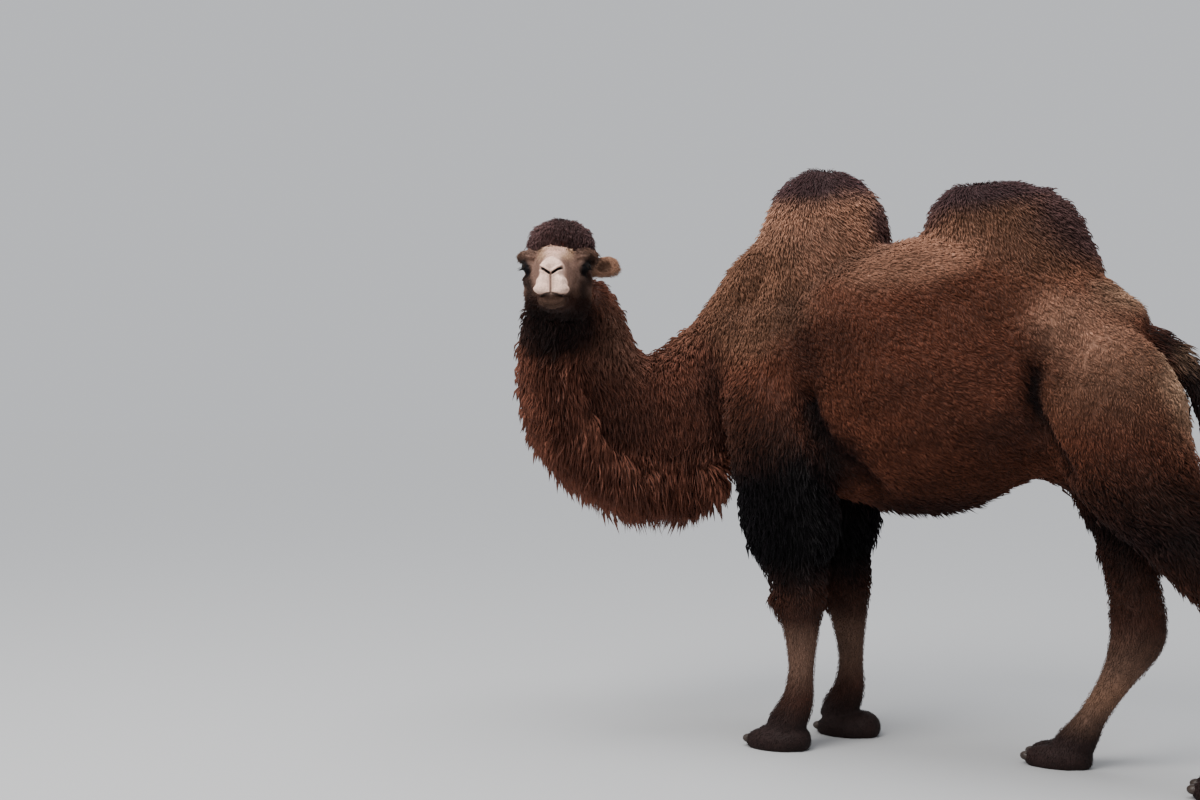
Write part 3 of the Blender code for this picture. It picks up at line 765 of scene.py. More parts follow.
MUZZLE_GROOVES = [  # path on the left, half width, depth, and from where it is seen
    (NOSTRIL, 0.0066, 0.013, FROM_FRONT),
    ([(x, y, z + 0.009) for x, y, z in NOSTRIL], 0.0070, -0.0035, FROM_FRONT),
    ([(x, y, z - 0.009) for x, y, z in NOSTRIL], 0.0060, -0.0020, FROM_FRONT),
    (MOUTH_FRONT, 0.0080, 0.010, FROM_FRONT),
    (MOUTH_SIDE, 0.0080, 0.009, FROM_SIDE),
    (TEAR_HOLLOW, 0.018, 0.005, ALL_ROUND),
    (JAW_LINE, 0.018, 0.005, ALL_ROUND),
]


def muzzle_rise(spots):
    rise = groove(spots, PHILTRUM, 0.0060, 0.007, FROM_FRONT)
    rise += dent(spots, *CHIN_FORM)
    rise = with_twin_dents(rise, spots, MUZZLE_FORMS)
    for path, half_width, depth, heed in MUZZLE_GROOVES:
        for one in twinned(path):
            rise += groove(spots, one, half_width, depth, heed)
    return rise


print("muzzle:", len(MUZZLE_FORMS) + 1, "forms and", len(MUZZLE_GROOVES) + 1, "grooves")

# %% [markdown]
# The lids are wrapped round the eyeball like cloth round a marble. Seen from the eyeball's
# middle, a point inside the almond-shaped opening is tucked under the ball. A point outside
# it is drawn onto the ball, and less and less so further off.

# %% Wrap the lids round the eyes
EYE_LOOKS = Vector((0.46, 0.88, 0.06)).normalized()  # the left eye's axis in the head's plan
OPENING = (0.90, 0.54, 0.50)  # half width, height and depth of the opening, in radians
LID_THICKNESS = 0.0022
TUCKED = 0.0025
LID_REACH = 0.85  # how far past the opening the skin is still drawn in, in radians
LID_SLANT = 0.10  # how much the opening climbs forwards
LID_RIM = (0.2, 0.6)  # width of the upper lid's thick rim in radians, and how much it adds
LID_FOLD = (0.34, 0.07, 0.0022)  # how far above the opening, how wide and how deep
BARE_RIM = 0.10  # how far from the opening a lid has no hair


def eye_axes(side):
    """Where one eye looks, and what is ahead and upwards of that."""
    looks = np.array(EYE_LOOKS) * (1, side, 1)
    ahead = np.array((1.0, 0, 0)) - looks * looks[0]
    ahead /= np.linalg.norm(ahead)
    return looks, ahead, np.cross(looks, ahead) * side


def eye_angles(spots, side):
    """Points as seen from an eye's middle: offset, distance, depth, and angles ahead and up."""
    looks, ahead, upward = eye_axes(side)
    offset = spots - eye_centre(side)
    far = np.linalg.norm(offset, axis=1)
    front = offset @ looks
    return offset, far, front, np.arctan2(offset @ ahead, front), np.arctan2(offset @ upward, front)


def outside_opening(across, up):
    """Below zero inside the almond, and the angle from its edge outside it."""
    wide, high, deep = OPENING
    lean = up - LID_SLANT * across
    taper = np.clip(1 - (across / wide) ** 2, 0, 1)
    inside = np.where(lean > 0, lean - high * taper, -lean - deep * taper)
    return np.where(abs(across) < wide, inside, np.hypot(abs(across) - wide, lean))


def wrap_lids(spots):
    for side in (1, -1):
        offset, far, front, across, up = eye_angles(spots, side)
        near_eye = (front > 0.002) & (far < 0.06)
        past = outside_opening(across, up)
        rim = LID_RIM[1] * soft(1 - abs(past) / LID_RIM[0]) * (up > 0)
        lid = EYE_RADIUS + LID_THICKNESS * (1 + rim)
        wanted = np.where(past < 0, EYE_RADIUS - TUCKED, lid)
        fold = LID_FOLD[2] * np.exp(-(((past - LID_FOLD[0]) / LID_FOLD[1]) ** 2)) * (up > 0)
        pull = np.where(past < 0, 1.0, soft(1 - past / LID_REACH))
        drawn = far + (wanted - far) * pull - fold
        moved_to = offset * (drawn / np.maximum(far, 1e-6))[:, None] - offset
        spots = spots + np.where(near_eye[:, None], moved_to, 0)
    return spots


print("the left eye looks along", [round(c, 3) for c in EYE_LOOKS])

# %% [markdown]
# An ear is a leaf with a hollow. The hollow is pressed in: each point inside an ellipsoid
# slides back along one direction until it meets the ellipsoid's far wall.

# %% Hollow the ears
EAR_CUPS = {  # centre, radii, and the way that the hollow is pressed in
    "ear_left": ((-0.120, 0.176, 0.019), (0.022, 0.038, 0.029), (-0.96, -0.26, 0)),
    "ear_right": ((-0.193, -0.144, 0.037), (0.040, 0.022, 0.027), (0.20, 0.98, 0)),
}


def pressed_in(spots, centre, radii, way):
    """How far points slide along a way to leave an ellipsoid at its far wall."""
    here = (spots - np.array(centre)) / np.array(radii)
    step = np.array(way) / np.array(radii)
    inside = np.sum(here * here, axis=1) - 1
    lean = here @ step
    reach = (-lean + np.sqrt(np.maximum(lean**2 - (step @ step) * inside, 0))) / (step @ step)
    return np.where(inside < 0, reach, 0)[:, None] * np.array(way)


# Painted shade in the slits of the nostrils, along the mouth and in the cleft of the upper lip.
SHADE_LINES = [  # path, how far the dark reaches, how dark it is, and from where it is seen
    (NOSTRIL, 0.0074, 1.0, FROM_FRONT),
    (MOUTH_FRONT, 0.0068, 0.85, FROM_FRONT),
    (MOUTH_SIDE, 0.0060, 0.7, FROM_SIDE),
    (PHILTRUM, 0.0060, 0.7, FROM_FRONT),
    (PHILTRUM, 0.0180, 0.26, FROM_FRONT),
]


def sculpt_face(thing):
    """Moves the head's points; gives their painted shade, and which are bare or in an ear's cup."""
    spots = in_head(positions(thing.data))
    dark = np.zeros(len(spots))
    for path, reach, strength, heed in SHADE_LINES:
        for one in twinned(path):
            line = -groove(spots, one, reach, strength, heed)
            dark = np.maximum(dark, np.clip(line * 1.6, 0, strength))
    spots = spots + (vertex_normals(thing.data) @ HEAD_AXES.T) * muzzle_rise(spots)[:, None]
    spots = wrap_lids(spots)
    bare = dark > 0.3
    for side in (1, -1):
        _, far, front, across, up = eye_angles(spots, side)
        past = np.where((front > 0) & (far < 0.032), outside_opening(across, up), 9.0)
        bare |= past < BARE_RIM
        # painted shade round the opening of each eye, under the brow
        dark = np.maximum(dark, soft(1.3 - past / 0.35))
    cupped = np.zeros(len(spots), bool)
    for centre, radii, way in EAR_CUPS.values():
        slide = pressed_in(spots, centre, radii, way)
        cupped |= np.linalg.norm(slide, axis=1) > 0.002
        spots = spots + slide
    set_positions(thing.data, from_head(spots))
    return dark, bare, cupped


painted_shade, bare_skin, cupped_skin = sculpt_face(skin)
print("points of the face without hair:", int(bare_skin.sum()))

# %% [markdown]
# On the body the same tools raise the barrel, the shoulder and the hip, and cut the folds
# between them. The folds behind the elbow and before the thigh are cut deepest. Painted
# shade darkens every fold, these two the most.

# %% Model the body's forms and folds
# A fold's shade is how much painted shade darkens its middle.
Fold = namedtuple("Fold", "path half_width depth shade")
FOLDS = [  # paths on the left side
    Fold(  # behind the elbow
        [(0.08, -0.36, 1.32), (0.13, -0.36, 1.18), (0.20, -0.33, 1.08), (0.33, -0.26, 0.94)],
        *(0.075, 0.050, 0.95),
    ),
    Fold(  # before the thigh
        [(0.90, -0.34, 1.42), (0.88, -0.34, 1.29), (0.91, -0.34, 1.18), (1.00, -0.33, 1.02)],
        *(0.058, 0.046, 0.95),
    ),
    Fold(  # behind the shoulder
        [(-0.04, -0.20, 1.72), (0.06, -0.32, 1.55), (0.10, -0.36, 1.40), (0.12, -0.36, 1.28)],
        *(0.100, 0.020, 0.45),
    ),
    Fold(  # round the foot of the front hump
        [(0.36, -0.08, 1.86), (0.24, -0.17, 1.82), (0.12, -0.24, 1.76), (0.02, -0.28, 1.66)],
        *(0.090, 0.020, 0.35),
    ),
    Fold(  # between neck and shoulder
        [(-0.34, -0.22, 1.50), (-0.33, -0.28, 1.27), (-0.30, -0.28, 1.05)],
        *(0.100, 0.030, 0.60),
    ),
    Fold(  # across the thigh above the shank
        [(1.08, -0.40, 1.02), (1.20, -0.36, 0.90), (1.28, -0.30, 0.80)],
        *(0.050, 0.010, 0.40),
    ),
]
FOLD_HEED = (1, 0.3, 1)
BODY_FORMS = [  # centre and radii on the left, and how high each form rises
    ((0.50, 0.38, 1.28), (0.44, 0.28, 0.36), 0.012),  # barrel
    ((0.42, 0.22, 1.72), (0.34, 0.22, 0.14), 0.014),  # padding of the back
    ((-0.10, 0.33, 1.32), (0.20, 0.22, 0.32), 0.014),  # shoulder
    ((0.93, 0.32, 1.53), (0.12, 0.16, 0.12), 0.020),  # point of the hip
    ((0.79, 0.33, 1.55), (0.11, 0.20, 0.14), -0.020),  # hollow before it
    ((1.12, 0.36, 1.26), (0.20, 0.22, 0.24), 0.010),  # thigh
    ((0.92, 0.08, 2.03), (0.16, 0.26, 0.13), -0.012),  # rear corner of the rear hump
]
TOE_CLEFT = (0.020, 0.016)  # half width and depth of the groove between two toes


def fold_body(thing):
    """Moves the body's points and says how much painted shade darkens each fold."""
    spots = positions(thing.data)
    rise = with_twin_dents(np.zeros(len(spots)), spots, BODY_FORMS)
    shade = np.zeros(len(spots))
    for fold in FOLDS:
        for one in twinned(fold.path):
            cut = groove(spots, one, fold.half_width, fold.depth, FOLD_HEED)
            rise += cut
            # painted shade, darkest along the middle of the fold
            shade = np.maximum(shade, (-cut / fold.depth) ** 1.5 * fold.shade)
    for foot in FEET.values():
        tip = foot.x - foot.half_length
        cleft = [(tip - 0.02, foot.y, 0.05), (tip + 0.05, foot.y, 0.08)]
        rise += groove(spots, cleft, *TOE_CLEFT, (1, 1, 0.4))
    set_positions(thing.data, spots + vertex_normals(thing.data) * rise[:, None])
    return shade


fold_shade = fold_body(skin)
print("body forms:", len(BODY_FORMS), "and folds:", len(FOLDS))

# %% [markdown]
# ## What every point of the skin knows
# Hair is combed. Before any lock grows, each point of the skin learns which way its coat
# lies, how deep and how long it is, and what colour. All of that comes from the rows: a point
# takes most from the row it is nearest to, with a soft blend where two masses meet.

# %% How near each point is to each row
Near = namedtuple("Near", "far place passed angle")
BLEND_SHARPNESS = 8.0
ROW_REACH = 0.10  # how far past its own point a row counts as one full radius


def nearness(spots, row):
    """Distance from a row in its own radii, the nearest row point, how far along, and the angle."""
    best = np.full(len(spots), np.inf)
    place = np.zeros(len(spots), int)
    passed = np.zeros(len(spots))
    angle = np.zeros(len(spots))
    travel = np.linalg.norm(np.gradient(row.centre, axis=0), axis=1)
    for i, centre in enumerate(row.centre):
        offset = spots - centre
        a = offset @ row.side[i] / row.wide[i]
        b = offset @ row.up[i] / row.deep[i]
        c = offset @ row.along[i]
        far = a * a + b * b + (c / ROW_REACH) ** 2
        closer = far < best
        best[closer] = far[closer]
        place[closer] = i
        passed[closer] = i + np.clip(c[closer] / travel[i], -0.6, 0.6)
        angle[closer] = np.arctan2(b[closer], a[closer])
    return Near(np.sqrt(best), place, passed / len(row.centre), angle)


def study(spots):
    """For each row: every point's nearness, place along it and angle round it, and a share."""
    near = {name: nearness(spots, row) for name, row in ROWS.items()}
    closest = np.min([one.far for one in near.values()], axis=0)
    share = {name: np.exp(BLEND_SHARPNESS * (closest - one.far)) for name, one in near.items()}
    total = sum(share.values())
    return near, {name: part / total for name, part in share.items()}


def ripple(spots, size, seed):
    """Soft waves between about -1 and 1, a few of them crossing, each about a size across."""
    dice = np.random.default_rng(seed)
    value = np.zeros(len(spots))
    for _ in range(5):
        wave = dice.normal(size=3)
        wave *= 2 * math.pi / (size * np.linalg.norm(wave) * dice.uniform(0.7, 1.5))
        value += np.sin(spots @ wave + dice.uniform(0, 6.3))
    return value / 2.2


print("points of the neck's row:", len(ROWS["neck"].centre))

# %% [markdown]
# The coat of the trunk is combed back and down. On the neck and upper legs it simply hangs.
# On the face it runs back from the nose, on legs, tail and ears it follows the limb, and from
# the crown and the crests of the humps it falls outwards all round like a mop. Round the eyes
# it is very short and points away from them.

# %% Comb the coat
COMBED = {  # directions in the animal's plan
    "trunk": (0.72, 0, -0.70),
    "withers": (0.45, 0, -0.90),
    "neck": (0.25, 0.05, -1.0),
    "mane": (0.02, 0, -1.0),
}
HEAD_COMBED = {  # directions in the head's plan
    "skull": (-1.0, 0, -0.05),
    "pads": (-0.95, 0, -0.2),
    "lip": (-0.9, 0, -0.4),
    "chin": (-0.5, 0, -0.9),
}
CROWN_FALL = {  # outwards, down and a sweep that moves the whorl off the very top
    "topknot": (0.40, 0.85, (0.22, -0.42, 0)),
    "hump_front": (0.45, 0.85, (0.30, -0.10, 0)),
    "hump_rear": (0.45, 0.85, (0.35, -0.10, 0)),
}
SWIRLS = ((0.30, 0.20), (0.07, 0.16))  # how wide the coat's slow and quick waves are, how strong
LONG_HAIR = (0.06, 0.10)  # between these lengths, locks go from lying on the skin to hanging
EYE_FUR = (0.006, 0.0016)  # length and depth of the hair round the eyes
FOOT_FUR = (0.011, 0.0035)  # on the feet
CUP_FUR = (0.018, 0.005)  # and in the cup of an ear
EYE_FUR_REACH = 0.056
EYE_FUR_FADE = 0.03
EYE_FUR_TURN = 3  # how strongly this hair points away from the eye
FOOT_FUR_TOP = 0.14
FOOT_FUR_FADE = 0.05
EAR_HANG = 0.8  # how much the hair of an ear hangs down
EAR_FLATNESS = 0.8  # and how closely it lies on the ear
Tuft = namedtuple("Tuft", "centre radii hair coat")
TUFTS = [  # places where the coat is longer, in the animal's plan
    Tuft((-0.075, -0.175, 0.58), (0.075, 0.10, 0.11), 0.055, 0.024),
    Tuft((-0.015, 0.165, 0.58), (0.075, 0.10, 0.11), 0.055, 0.024),
    Tuft((0.40, 0, 0.90), (0.62, 0.15, 0.09), 0.080, 0.034),
    Tuft((0.98, 0, 1.00), (0.16, 0.13, 0.16), 0.100, 0.040),
    Tuft((-0.50, -0.06, 1.50), (0.20, 0.16, 0.12), 0.055, 0.034),
    Tuft((1.32, -0.20, 0.86), (0.20, 0.22, 0.26), 0.060, 0.026),
    Tuft((1.08, 0.17, 0.82), (0.18, 0.20, 0.22), 0.050, 0.020),
    Tuft((0.05, 0, 2.16), (0.18, 0.22, 0.11), 0.026, 0.008),
    Tuft((0.68, 0, 2.08), (0.28, 0.22, 0.11), 0.026, 0.008),
]
HEAD_TUFTS = [  # and in the head's plan
    Tuft((0.16, 0.0, -0.165), (0.14, 0.12, 0.05), 0.030, 0.010),
    Tuft((0.00, 0.0, -0.150), (0.16, 0.16, 0.09), 0.055, 0.020),
    Tuft((-0.10, 0.0, -0.10), (0.12, 0.18, 0.13), 0.050, 0.018),
    Tuft((-0.20, 0.0, 0.00), (0.10, 0.14, 0.12), 0.045, 0.018),
    Tuft((-0.07, 0.02, 0.19), (0.10, 0.11, 0.06), 0.020, 0.007),
]
COAT_WAVES = (0.06, 0.25)  # how wide and how strong the coat's ups and downs are


def towards(value, wanted, part):
    return value + (wanted - value) * part


def raw_combing(spots, near, share):
    lie = np.zeros_like(spots)
    for name, row in ROWS.items():
        if name in COMBED:
            way = np.array(COMBED[name])
        elif name in HEAD_COMBED:
            way = np.array(HEAD_COMBED[name]) @ HEAD_AXES
        elif name in CROWN_FALL:
            out = (spots - row.centre[near[name].place]) * (1, 1, 0)
            outwards, down, sweep = CROWN_FALL[name]
            way = unit(out) * outwards - (0, 0, down) + np.array(sweep)
        else:
            way = row.along[near[name].place]
        lie += share[name][:, None] * unit(way)
    lie = unit(lie)
    for seed, (size, strength) in enumerate(SWIRLS):
        waves = [ripple(spots, size, 3 * seed + axis) for axis in (1, 2, 3)]
        lie = lie + strength * np.stack(waves, 1)
    return unit(lie)


def blended(values, near, share):
    return sum(share[name] * getattr(row, values)[near[name].place] for name, row in ROWS.items())


def comb(spots, normals, near, share):
    """Each point's lie, and the length and depth of its coat."""
    hair = blended("hair", near, share)
    coat = blended("coat", near, share)
    for places, tufts in ((spots, TUFTS), (in_head(spots), HEAD_TUFTS)):
        for tuft in tufts:
            part = dent(places, tuft.centre, tuft.radii, 1.0) ** 0.5
            hair = towards(hair, tuft.hair, part)
            coat = towards(coat, tuft.coat, part)
    coat = coat * (1 + COAT_WAVES[1] * ripple(spots, COAT_WAVES[0], 31))
    lie = raw_combing(spots, near, share)
    hangs = np.clip((hair - LONG_HAIR[0]) / (LONG_HAIR[1] - LONG_HAIR[0]), 0, 1)[:, None]
    outward = dot(lie, normals)
    lie = unit(lie - normals * outward * np.where(outward < 0, 1, 1 - hangs))
    outward = dot(lie, normals)[:, 0]
    hair = np.minimum(hair, 1.2 * coat / np.maximum(outward, 0.05))
    on_ear = (share["ear_left"] + share["ear_right"])[:, None]
    lie = unit(lie + EAR_HANG * on_ear * np.array((0, 0, -1)))
    lie = unit(lie - normals * dot(lie, normals) * on_ear * EAR_FLATNESS)
    by_foot = soft((FOOT_FUR_TOP - spots[:, 2]) / FOOT_FUR_FADE)
    for part, fur in ((by_foot, FOOT_FUR), (cupped_skin.astype(float), CUP_FUR)):
        hair = towards(hair, fur[0], part)
        coat = towards(coat, fur[1], part)
    for side in (1, -1):
        away = in_head(spots) - eye_centre(side)
        by_eye = soft((EYE_FUR_REACH - np.linalg.norm(away, axis=1)) / EYE_FUR_FADE)
        lie = unit(lie + EYE_FUR_TURN * by_eye[:, None] * (unit(away) @ HEAD_AXES))
        lie = unit(lie - normals * dot(lie, normals) * by_eye[:, None])
        hair = towards(hair, EYE_FUR[0], by_eye)
        coat = towards(coat, EYE_FUR[1], by_eye)
    return lie, hair, coat


print("places with longer hair:", len(TUFTS), "on the body and", len(HEAD_TUFTS), "on the head")

# %% [markdown]
# Colours are named, as on a painter's palette, and every mass has its own. Soft patches then
# darken or lighten places that matter: the black caps of the humps, the pale hips, the black
# fringe of the belly and the cream muzzle. Other patches are painted shade: under the barrel,
# over the belly's fringe, behind the elbow and the shoulder, before the thigh, between the hind
# legs, on the lower cheeks and round the eyes. The patches lie in space, not on one mass, so
# they cross from one mass to the next without an edge.

# %% The palette and the patches
BLACK = (0.004, 0.003, 0.004)
DARK = (0.020, 0.010, 0.009)
MAUVE = (0.060, 0.031, 0.032)
HEATHER = (0.088, 0.047, 0.046)
UMBER = (0.050, 0.019, 0.012)
RUST = (0.145, 0.053, 0.034)
BROWN = (0.138, 0.046, 0.026)
DUN = (0.125, 0.068, 0.047)
KHAKI = (0.195, 0.104, 0.066)
OAT = (0.27, 0.16, 0.12)
FAWN = (0.185, 0.090, 0.055)
TAN = (0.36, 0.185, 0.120)
BUFF = (0.46, 0.25, 0.16)
SAND = (0.44, 0.28, 0.18)
CREAM = (0.86, 0.57, 0.45)
MASS_COLOURS = {
    "trunk": BROWN,
    "hump_front": TAN,
    "hump_rear": FAWN,
    "withers": FAWN,
    "neck": RUST,
    "mane": RUST,
    "tail": DARK,
    "skull": OAT,
    "pads": CREAM,
    "lip": CREAM,
    "chin": UMBER,
    "topknot": HEATHER,
    "ear_left": BUFF,
    "ear_right": BUFF,
}
FORE_BANDS = [  # height above the ground, and the colour there
    (0.0, DARK), (0.10, DARK), (0.20, UMBER), (0.30, DUN), (0.42, DUN), (0.49, UMBER),
    (0.58, UMBER), (0.66, DARK), (0.74, BLACK), (1.02, BLACK), (1.18, UMBER), (1.40, BROWN),
]
HIND_BANDS = [
    (0.0, DARK), (0.10, DARK), (0.18, DUN), (0.26, KHAKI), (0.36, DUN), (0.52, UMBER),
    (0.66, UMBER), (0.85, DARK), (1.00, UMBER), (1.15, BROWN), (1.35, FAWN),
]
Patch = namedtuple("Patch", "colour centre radii strength edge", defaults=[0.5])
PATCHES = [  # on both sides of the animal; edge is how much of the radius fades
    Patch(MAUVE, (0.05, 0, 2.27), (0.42, 0.50, 0.28), 1.0, 0.30),
    Patch(MAUVE, (0.33, 0, 1.98), (0.15, 0.30, 0.22), 0.9, 0.6),
    Patch(MAUVE, (0.68, 0, 2.18), (0.46, 0.50, 0.26), 1.0, 0.30),
    Patch(MAUVE, (0.46, 0, 2.02), (0.13, 0.30, 0.15), 0.8, 0.5),
    Patch(MAUVE, (1.00, 0, 1.92), (0.24, 0.30, 0.21), 0.9, 0.5),
    Patch(FAWN, (-0.16, 0.22, 1.68), (0.32, 0.27, 0.32), 0.9),
    Patch(TAN, (0.42, 0.20, 1.80), (0.34, 0.27, 0.19), 0.75),
    # painted shade behind the shoulder
    Patch(UMBER, (0.20, 0.33, 1.50), (0.20, 0.20, 0.24), 0.4, 0.8),
    Patch(TAN, (1.02, 0.28, 1.55), (0.24, 0.25, 0.22), 0.9, 0.8),
    Patch(SAND, (1.16, 0.10, 1.66), (0.18, 0.20, 0.12), 0.55, 0.8),
    Patch(SAND, (1.32, 0.18, 1.38), (0.12, 0.22, 0.32), 0.65, 0.8),
    # painted shade in the fold before the thigh
    Patch(DARK, (0.86, 0.34, 1.14), (0.10, 0.20, 0.20), 0.6, 0.8),
    # painted shade behind the elbow
    Patch(BLACK, (0.18, 0.32, 1.01), (0.19, 0.20, 0.24), 0.95, 0.6),
    # black fringe of the belly, made darker by painted shade
    Patch(BLACK, (0.50, 0.10, 0.86), (0.62, 0.34, 0.15), 1.0, 0.7),
    # painted shade before the thigh
    Patch(UMBER, (0.80, 0.33, 1.12), (0.22, 0.16, 0.18), 0.8, 0.9),
    Patch(DARK, (1.36, 0, 1.10), (0.16, 0.08, 0.50), 1.0, 0.5),
    Patch(UMBER, (-0.55, 0, 1.48), (0.25, 0.20, 0.10), 0.5, 0.7),
    Patch(UMBER, (-0.20, 0.28, 1.25), (0.20, 0.16, 0.26), 0.7, 0.8),
    Patch(DUN, (-0.66, -0.30, 1.56), (0.26, 0.30, 0.26), 0.6, 0.8),
    Patch(UMBER, (-0.66, -0.28, 1.26), (0.22, 0.30, 0.18), 0.3, 0.8),
    # painted shade under the barrel
    Patch(UMBER, (0.60, 0, 1.00), (0.60, 0.42, 0.16), 0.5, 0.8),
    # painted shade between the hind legs
    Patch(DARK, (1.10, 0.00, 1.00), (0.30, 0.10, 0.35), 0.9, 0.6),
]
HEAD_PATCHES = [  # in the head's plan
    Patch(RUST, (-0.26, 0, -0.06), (0.16, 0.22, 0.20), 1.0, 0.5),
    Patch(UMBER, (-0.20, 0, 0.02), (0.12, 0.16, 0.14), 0.9, 0.6),
    Patch(SAND, (0.10, 0.015, 0.05), (0.18, 0.070, 0.07), 1.0, 0.5),
    Patch(CREAM, (0.10, 0.010, 0.06), (0.14, 0.045, 0.06), 0.8, 0.6),
    Patch(CREAM, (0.21, 0, 0.010), (0.12, 0.040, 0.050), 0.9, 0.6),
    Patch(TAN, (-0.10, 0.130, -0.100), (0.060, 0.050, 0.100), 0.6, 0.8),
    Patch(DUN, (0.000, 0.125, 0.040), (0.080, 0.060, 0.040), 0.9, 0.5),
    Patch(UMBER, (0.00, 0, -0.20), (0.34, 0.28, 0.145), 1.0, 0.4),
    Patch(DARK, (-0.02, 0, -0.21), (0.26, 0.24, 0.12), 0.9, 0.5),
    # painted shade on the lower cheek
    Patch(DARK, (0.040, 0.106, -0.085), (0.065, 0.044, 0.100), 0.75, 0.7),
    # these two are painted shade round the eye, under the brow
    Patch(DARK, (0.020, 0.118, -0.010), (0.070, 0.050, 0.060), 0.9, 0.6),
    Patch(BLACK, (0.030, 0.115, -0.012), (0.052, 0.038, 0.042), 1.0, 0.5),
    Patch(HEATHER, (-0.07, 0.012, 0.195), (0.24, 0.19, 0.130), 1.0, 0.10),
    Patch(UMBER, (-0.02, 0.125, -0.035), (0.070, 0.050, 0.050), 0.9, 0.6),
    Patch(CREAM, (0.31, 0, -0.055), (0.13, 0.11, 0.086), 1.0, 0.35),
    Patch(OAT, (0.285, 0.052, -0.052), (0.040, 0.018, 0.020), 0.7, 0.8),
    Patch(DUN, (0.27, 0, -0.160), (0.09, 0.08, 0.034), 0.95, 0.3),
]
CUP_COLOUR = (0.10, 0.050, 0.034)
CUP_TINTING = 0.7
PATCH_WANDER = (0.16, 0.018)  # how wide the waves in the patches' edges are, and how high
MOTTLE = {21: (0.22, 0.11), 22: (0.07, 0.08), 23: (0.022, 0.07)}  # seed: width and strength


def band_colour(height, bands):
    heights = [z for z, _ in bands]
    parts = [np.interp(height, heights, [colour[i] for _, colour in bands]) for i in range(3)]
    return np.stack(parts, 1)


def patched(colour, spots, patches):
    """Lays patches over a colour; a patch off the middle plane has a twin on the other side."""
    for patch in patches:
        inner = 1 - patch.edge  # the share of the radius that has the full colour
        for side in (1, -1) if patch.centre[1] else (1,):
            centre = np.array(patch.centre) * (1, side, 1)
            far = np.linalg.norm((spots - centre) / np.array(patch.radii), axis=1)
            part = (patch.strength * soft((1 - far) / (1 - inner)))[:, None]
            colour = colour * (1 - part) + np.array(patch.colour) * part
    return colour


def coat_colour(spots, share):
    colour = np.zeros_like(spots)
    for name, part in share.items():
        if name in MASS_COLOURS:
            own = np.array(MASS_COLOURS[name])
        else:
            own = band_colour(spots[:, 2], FORE_BANDS if name.startswith("fore") else HIND_BANDS)
        colour += part[:, None] * own
    size, height = PATCH_WANDER
    wander = np.stack([ripple(spots, size, 11), ripple(spots, size, 12), 0 * spots[:, 0]], 1)
    colour = patched(colour, spots + height * wander, PATCHES)
    colour = patched(colour, in_head(spots), HEAD_PATCHES)
    mottle = 1
    for seed, (size, strength) in MOTTLE.items():
        mottle = mottle + strength * ripple(spots, size, seed)
    return colour * mottle[:, None]


print("patches of colour:", len(PATCHES), "on the body and", len(HEAD_PATCHES), "on the head")

# %% [markdown]
# ## The coat
# One lock is a tiny closed solid, pointed at its root and at its tip. Every kind of lock is
# modelled once at unit size: x across, y out of the skin and z along. Its centre line rises
# out of the skin and lies over again, and no two kinds rise or wave alike. Geometry Nodes
# then plant the locks, because that is what they are best at: one shape, many places.

# %% Model a few kinds of lock
ATTRIBUTE_KINDS = {  # for each number of values: the kind, and where its values are kept
    1: ("FLOAT", "value"),
    3: ("FLOAT_VECTOR", "vector"),
    4: ("FLOAT_COLOR", "color"),
}
LOCK_SIDES = 3
LOCK_KINDS = 6
LOCK_FLATNESS = 0.30  # a lock is this much thinner than it is wide
LOCK_ROOT = 0.15  # how deep the root sits, in the coat's depth
LOCK_TOP = 0.6  # where along its length a lock has risen to its height


def add_attribute(data, name, values, domain="POINT"):
    """Stores numbers, vectors or colours with a mesh, by how many values each point has."""
    values = np.asarray(values, np.float32)
    size = 1 if values.ndim == 1 else values.shape[-1]
    kind, key = ATTRIBUTE_KINDS[size]
    data.attributes.new(name, kind, domain).data.foreach_set(key, values.ravel())


def smooth(mesh):
    for face in mesh.faces:
        face.smooth = True


def lock_into(name, knots, rise, wave, phase, home):
    """One kind of lock: a root point, rings at the knots and a pointed tip."""
    mesh = bmesh.new()
    root = mesh.verts.new((0, rise(0.0), 0))
    rings = []
    for t in knots:
        width = (0.55 + 1.6 * t) * (1 - t) ** 0.8 * 0.55
        middle = Vector((wave * math.sin(5.0 * t + phase) * t, rise(t), t))
        turns = [math.radians(90 + 360 * k / LOCK_SIDES) for k in range(LOCK_SIDES)]
        corners = [Vector((math.cos(a), LOCK_FLATNESS * math.sin(a), 0)) * width for a in turns]
        rings.append([mesh.verts.new(middle + corner) for corner in corners])
    tip = mesh.verts.new((wave * math.sin(5.0 + phase), rise(1.0), 1.0))
    for k in range(LOCK_SIDES):
        n = (k + 1) % LOCK_SIDES
        mesh.faces.new((root, rings[0][n], rings[0][k]))
        mesh.faces.new((rings[-1][k], rings[-1][n], tip))
        for a, b in zip(rings, rings[1:]):
            mesh.faces.new((a[k], a[n], b[n], b[k]))
    bmesh.ops.recalc_face_normals(mesh, faces=mesh.faces)
    smooth(mesh)
    data = bpy.data.meshes.new(name)
    mesh.to_mesh(data)
    mesh.free()
    add_attribute(data, "grain", positions(data))
    home.objects.link(bpy.data.objects.new(name, data))


def lock_family(name, knots):
    """Some kinds of lock with the same rings."""
    home = bpy.data.collections.new(name)
    for kind in range(LOCK_KINDS):
        tip = 0.35 + 0.13 * kind
        top = max(tip, 0.55)

        def rise(t, tip=tip, top=top):
            climb = (top + LOCK_ROOT) * (1 - (1 - min(t / LOCK_TOP, 1)) ** 2)
            return climb - LOCK_ROOT + (tip - top) * max(t - LOCK_TOP, 0) / (1 - LOCK_TOP)

        lock_into(f"{name}_{kind}", knots, rise, 0.35 + 0.1 * (kind % 3), 1.1 * kind, home)
    return home


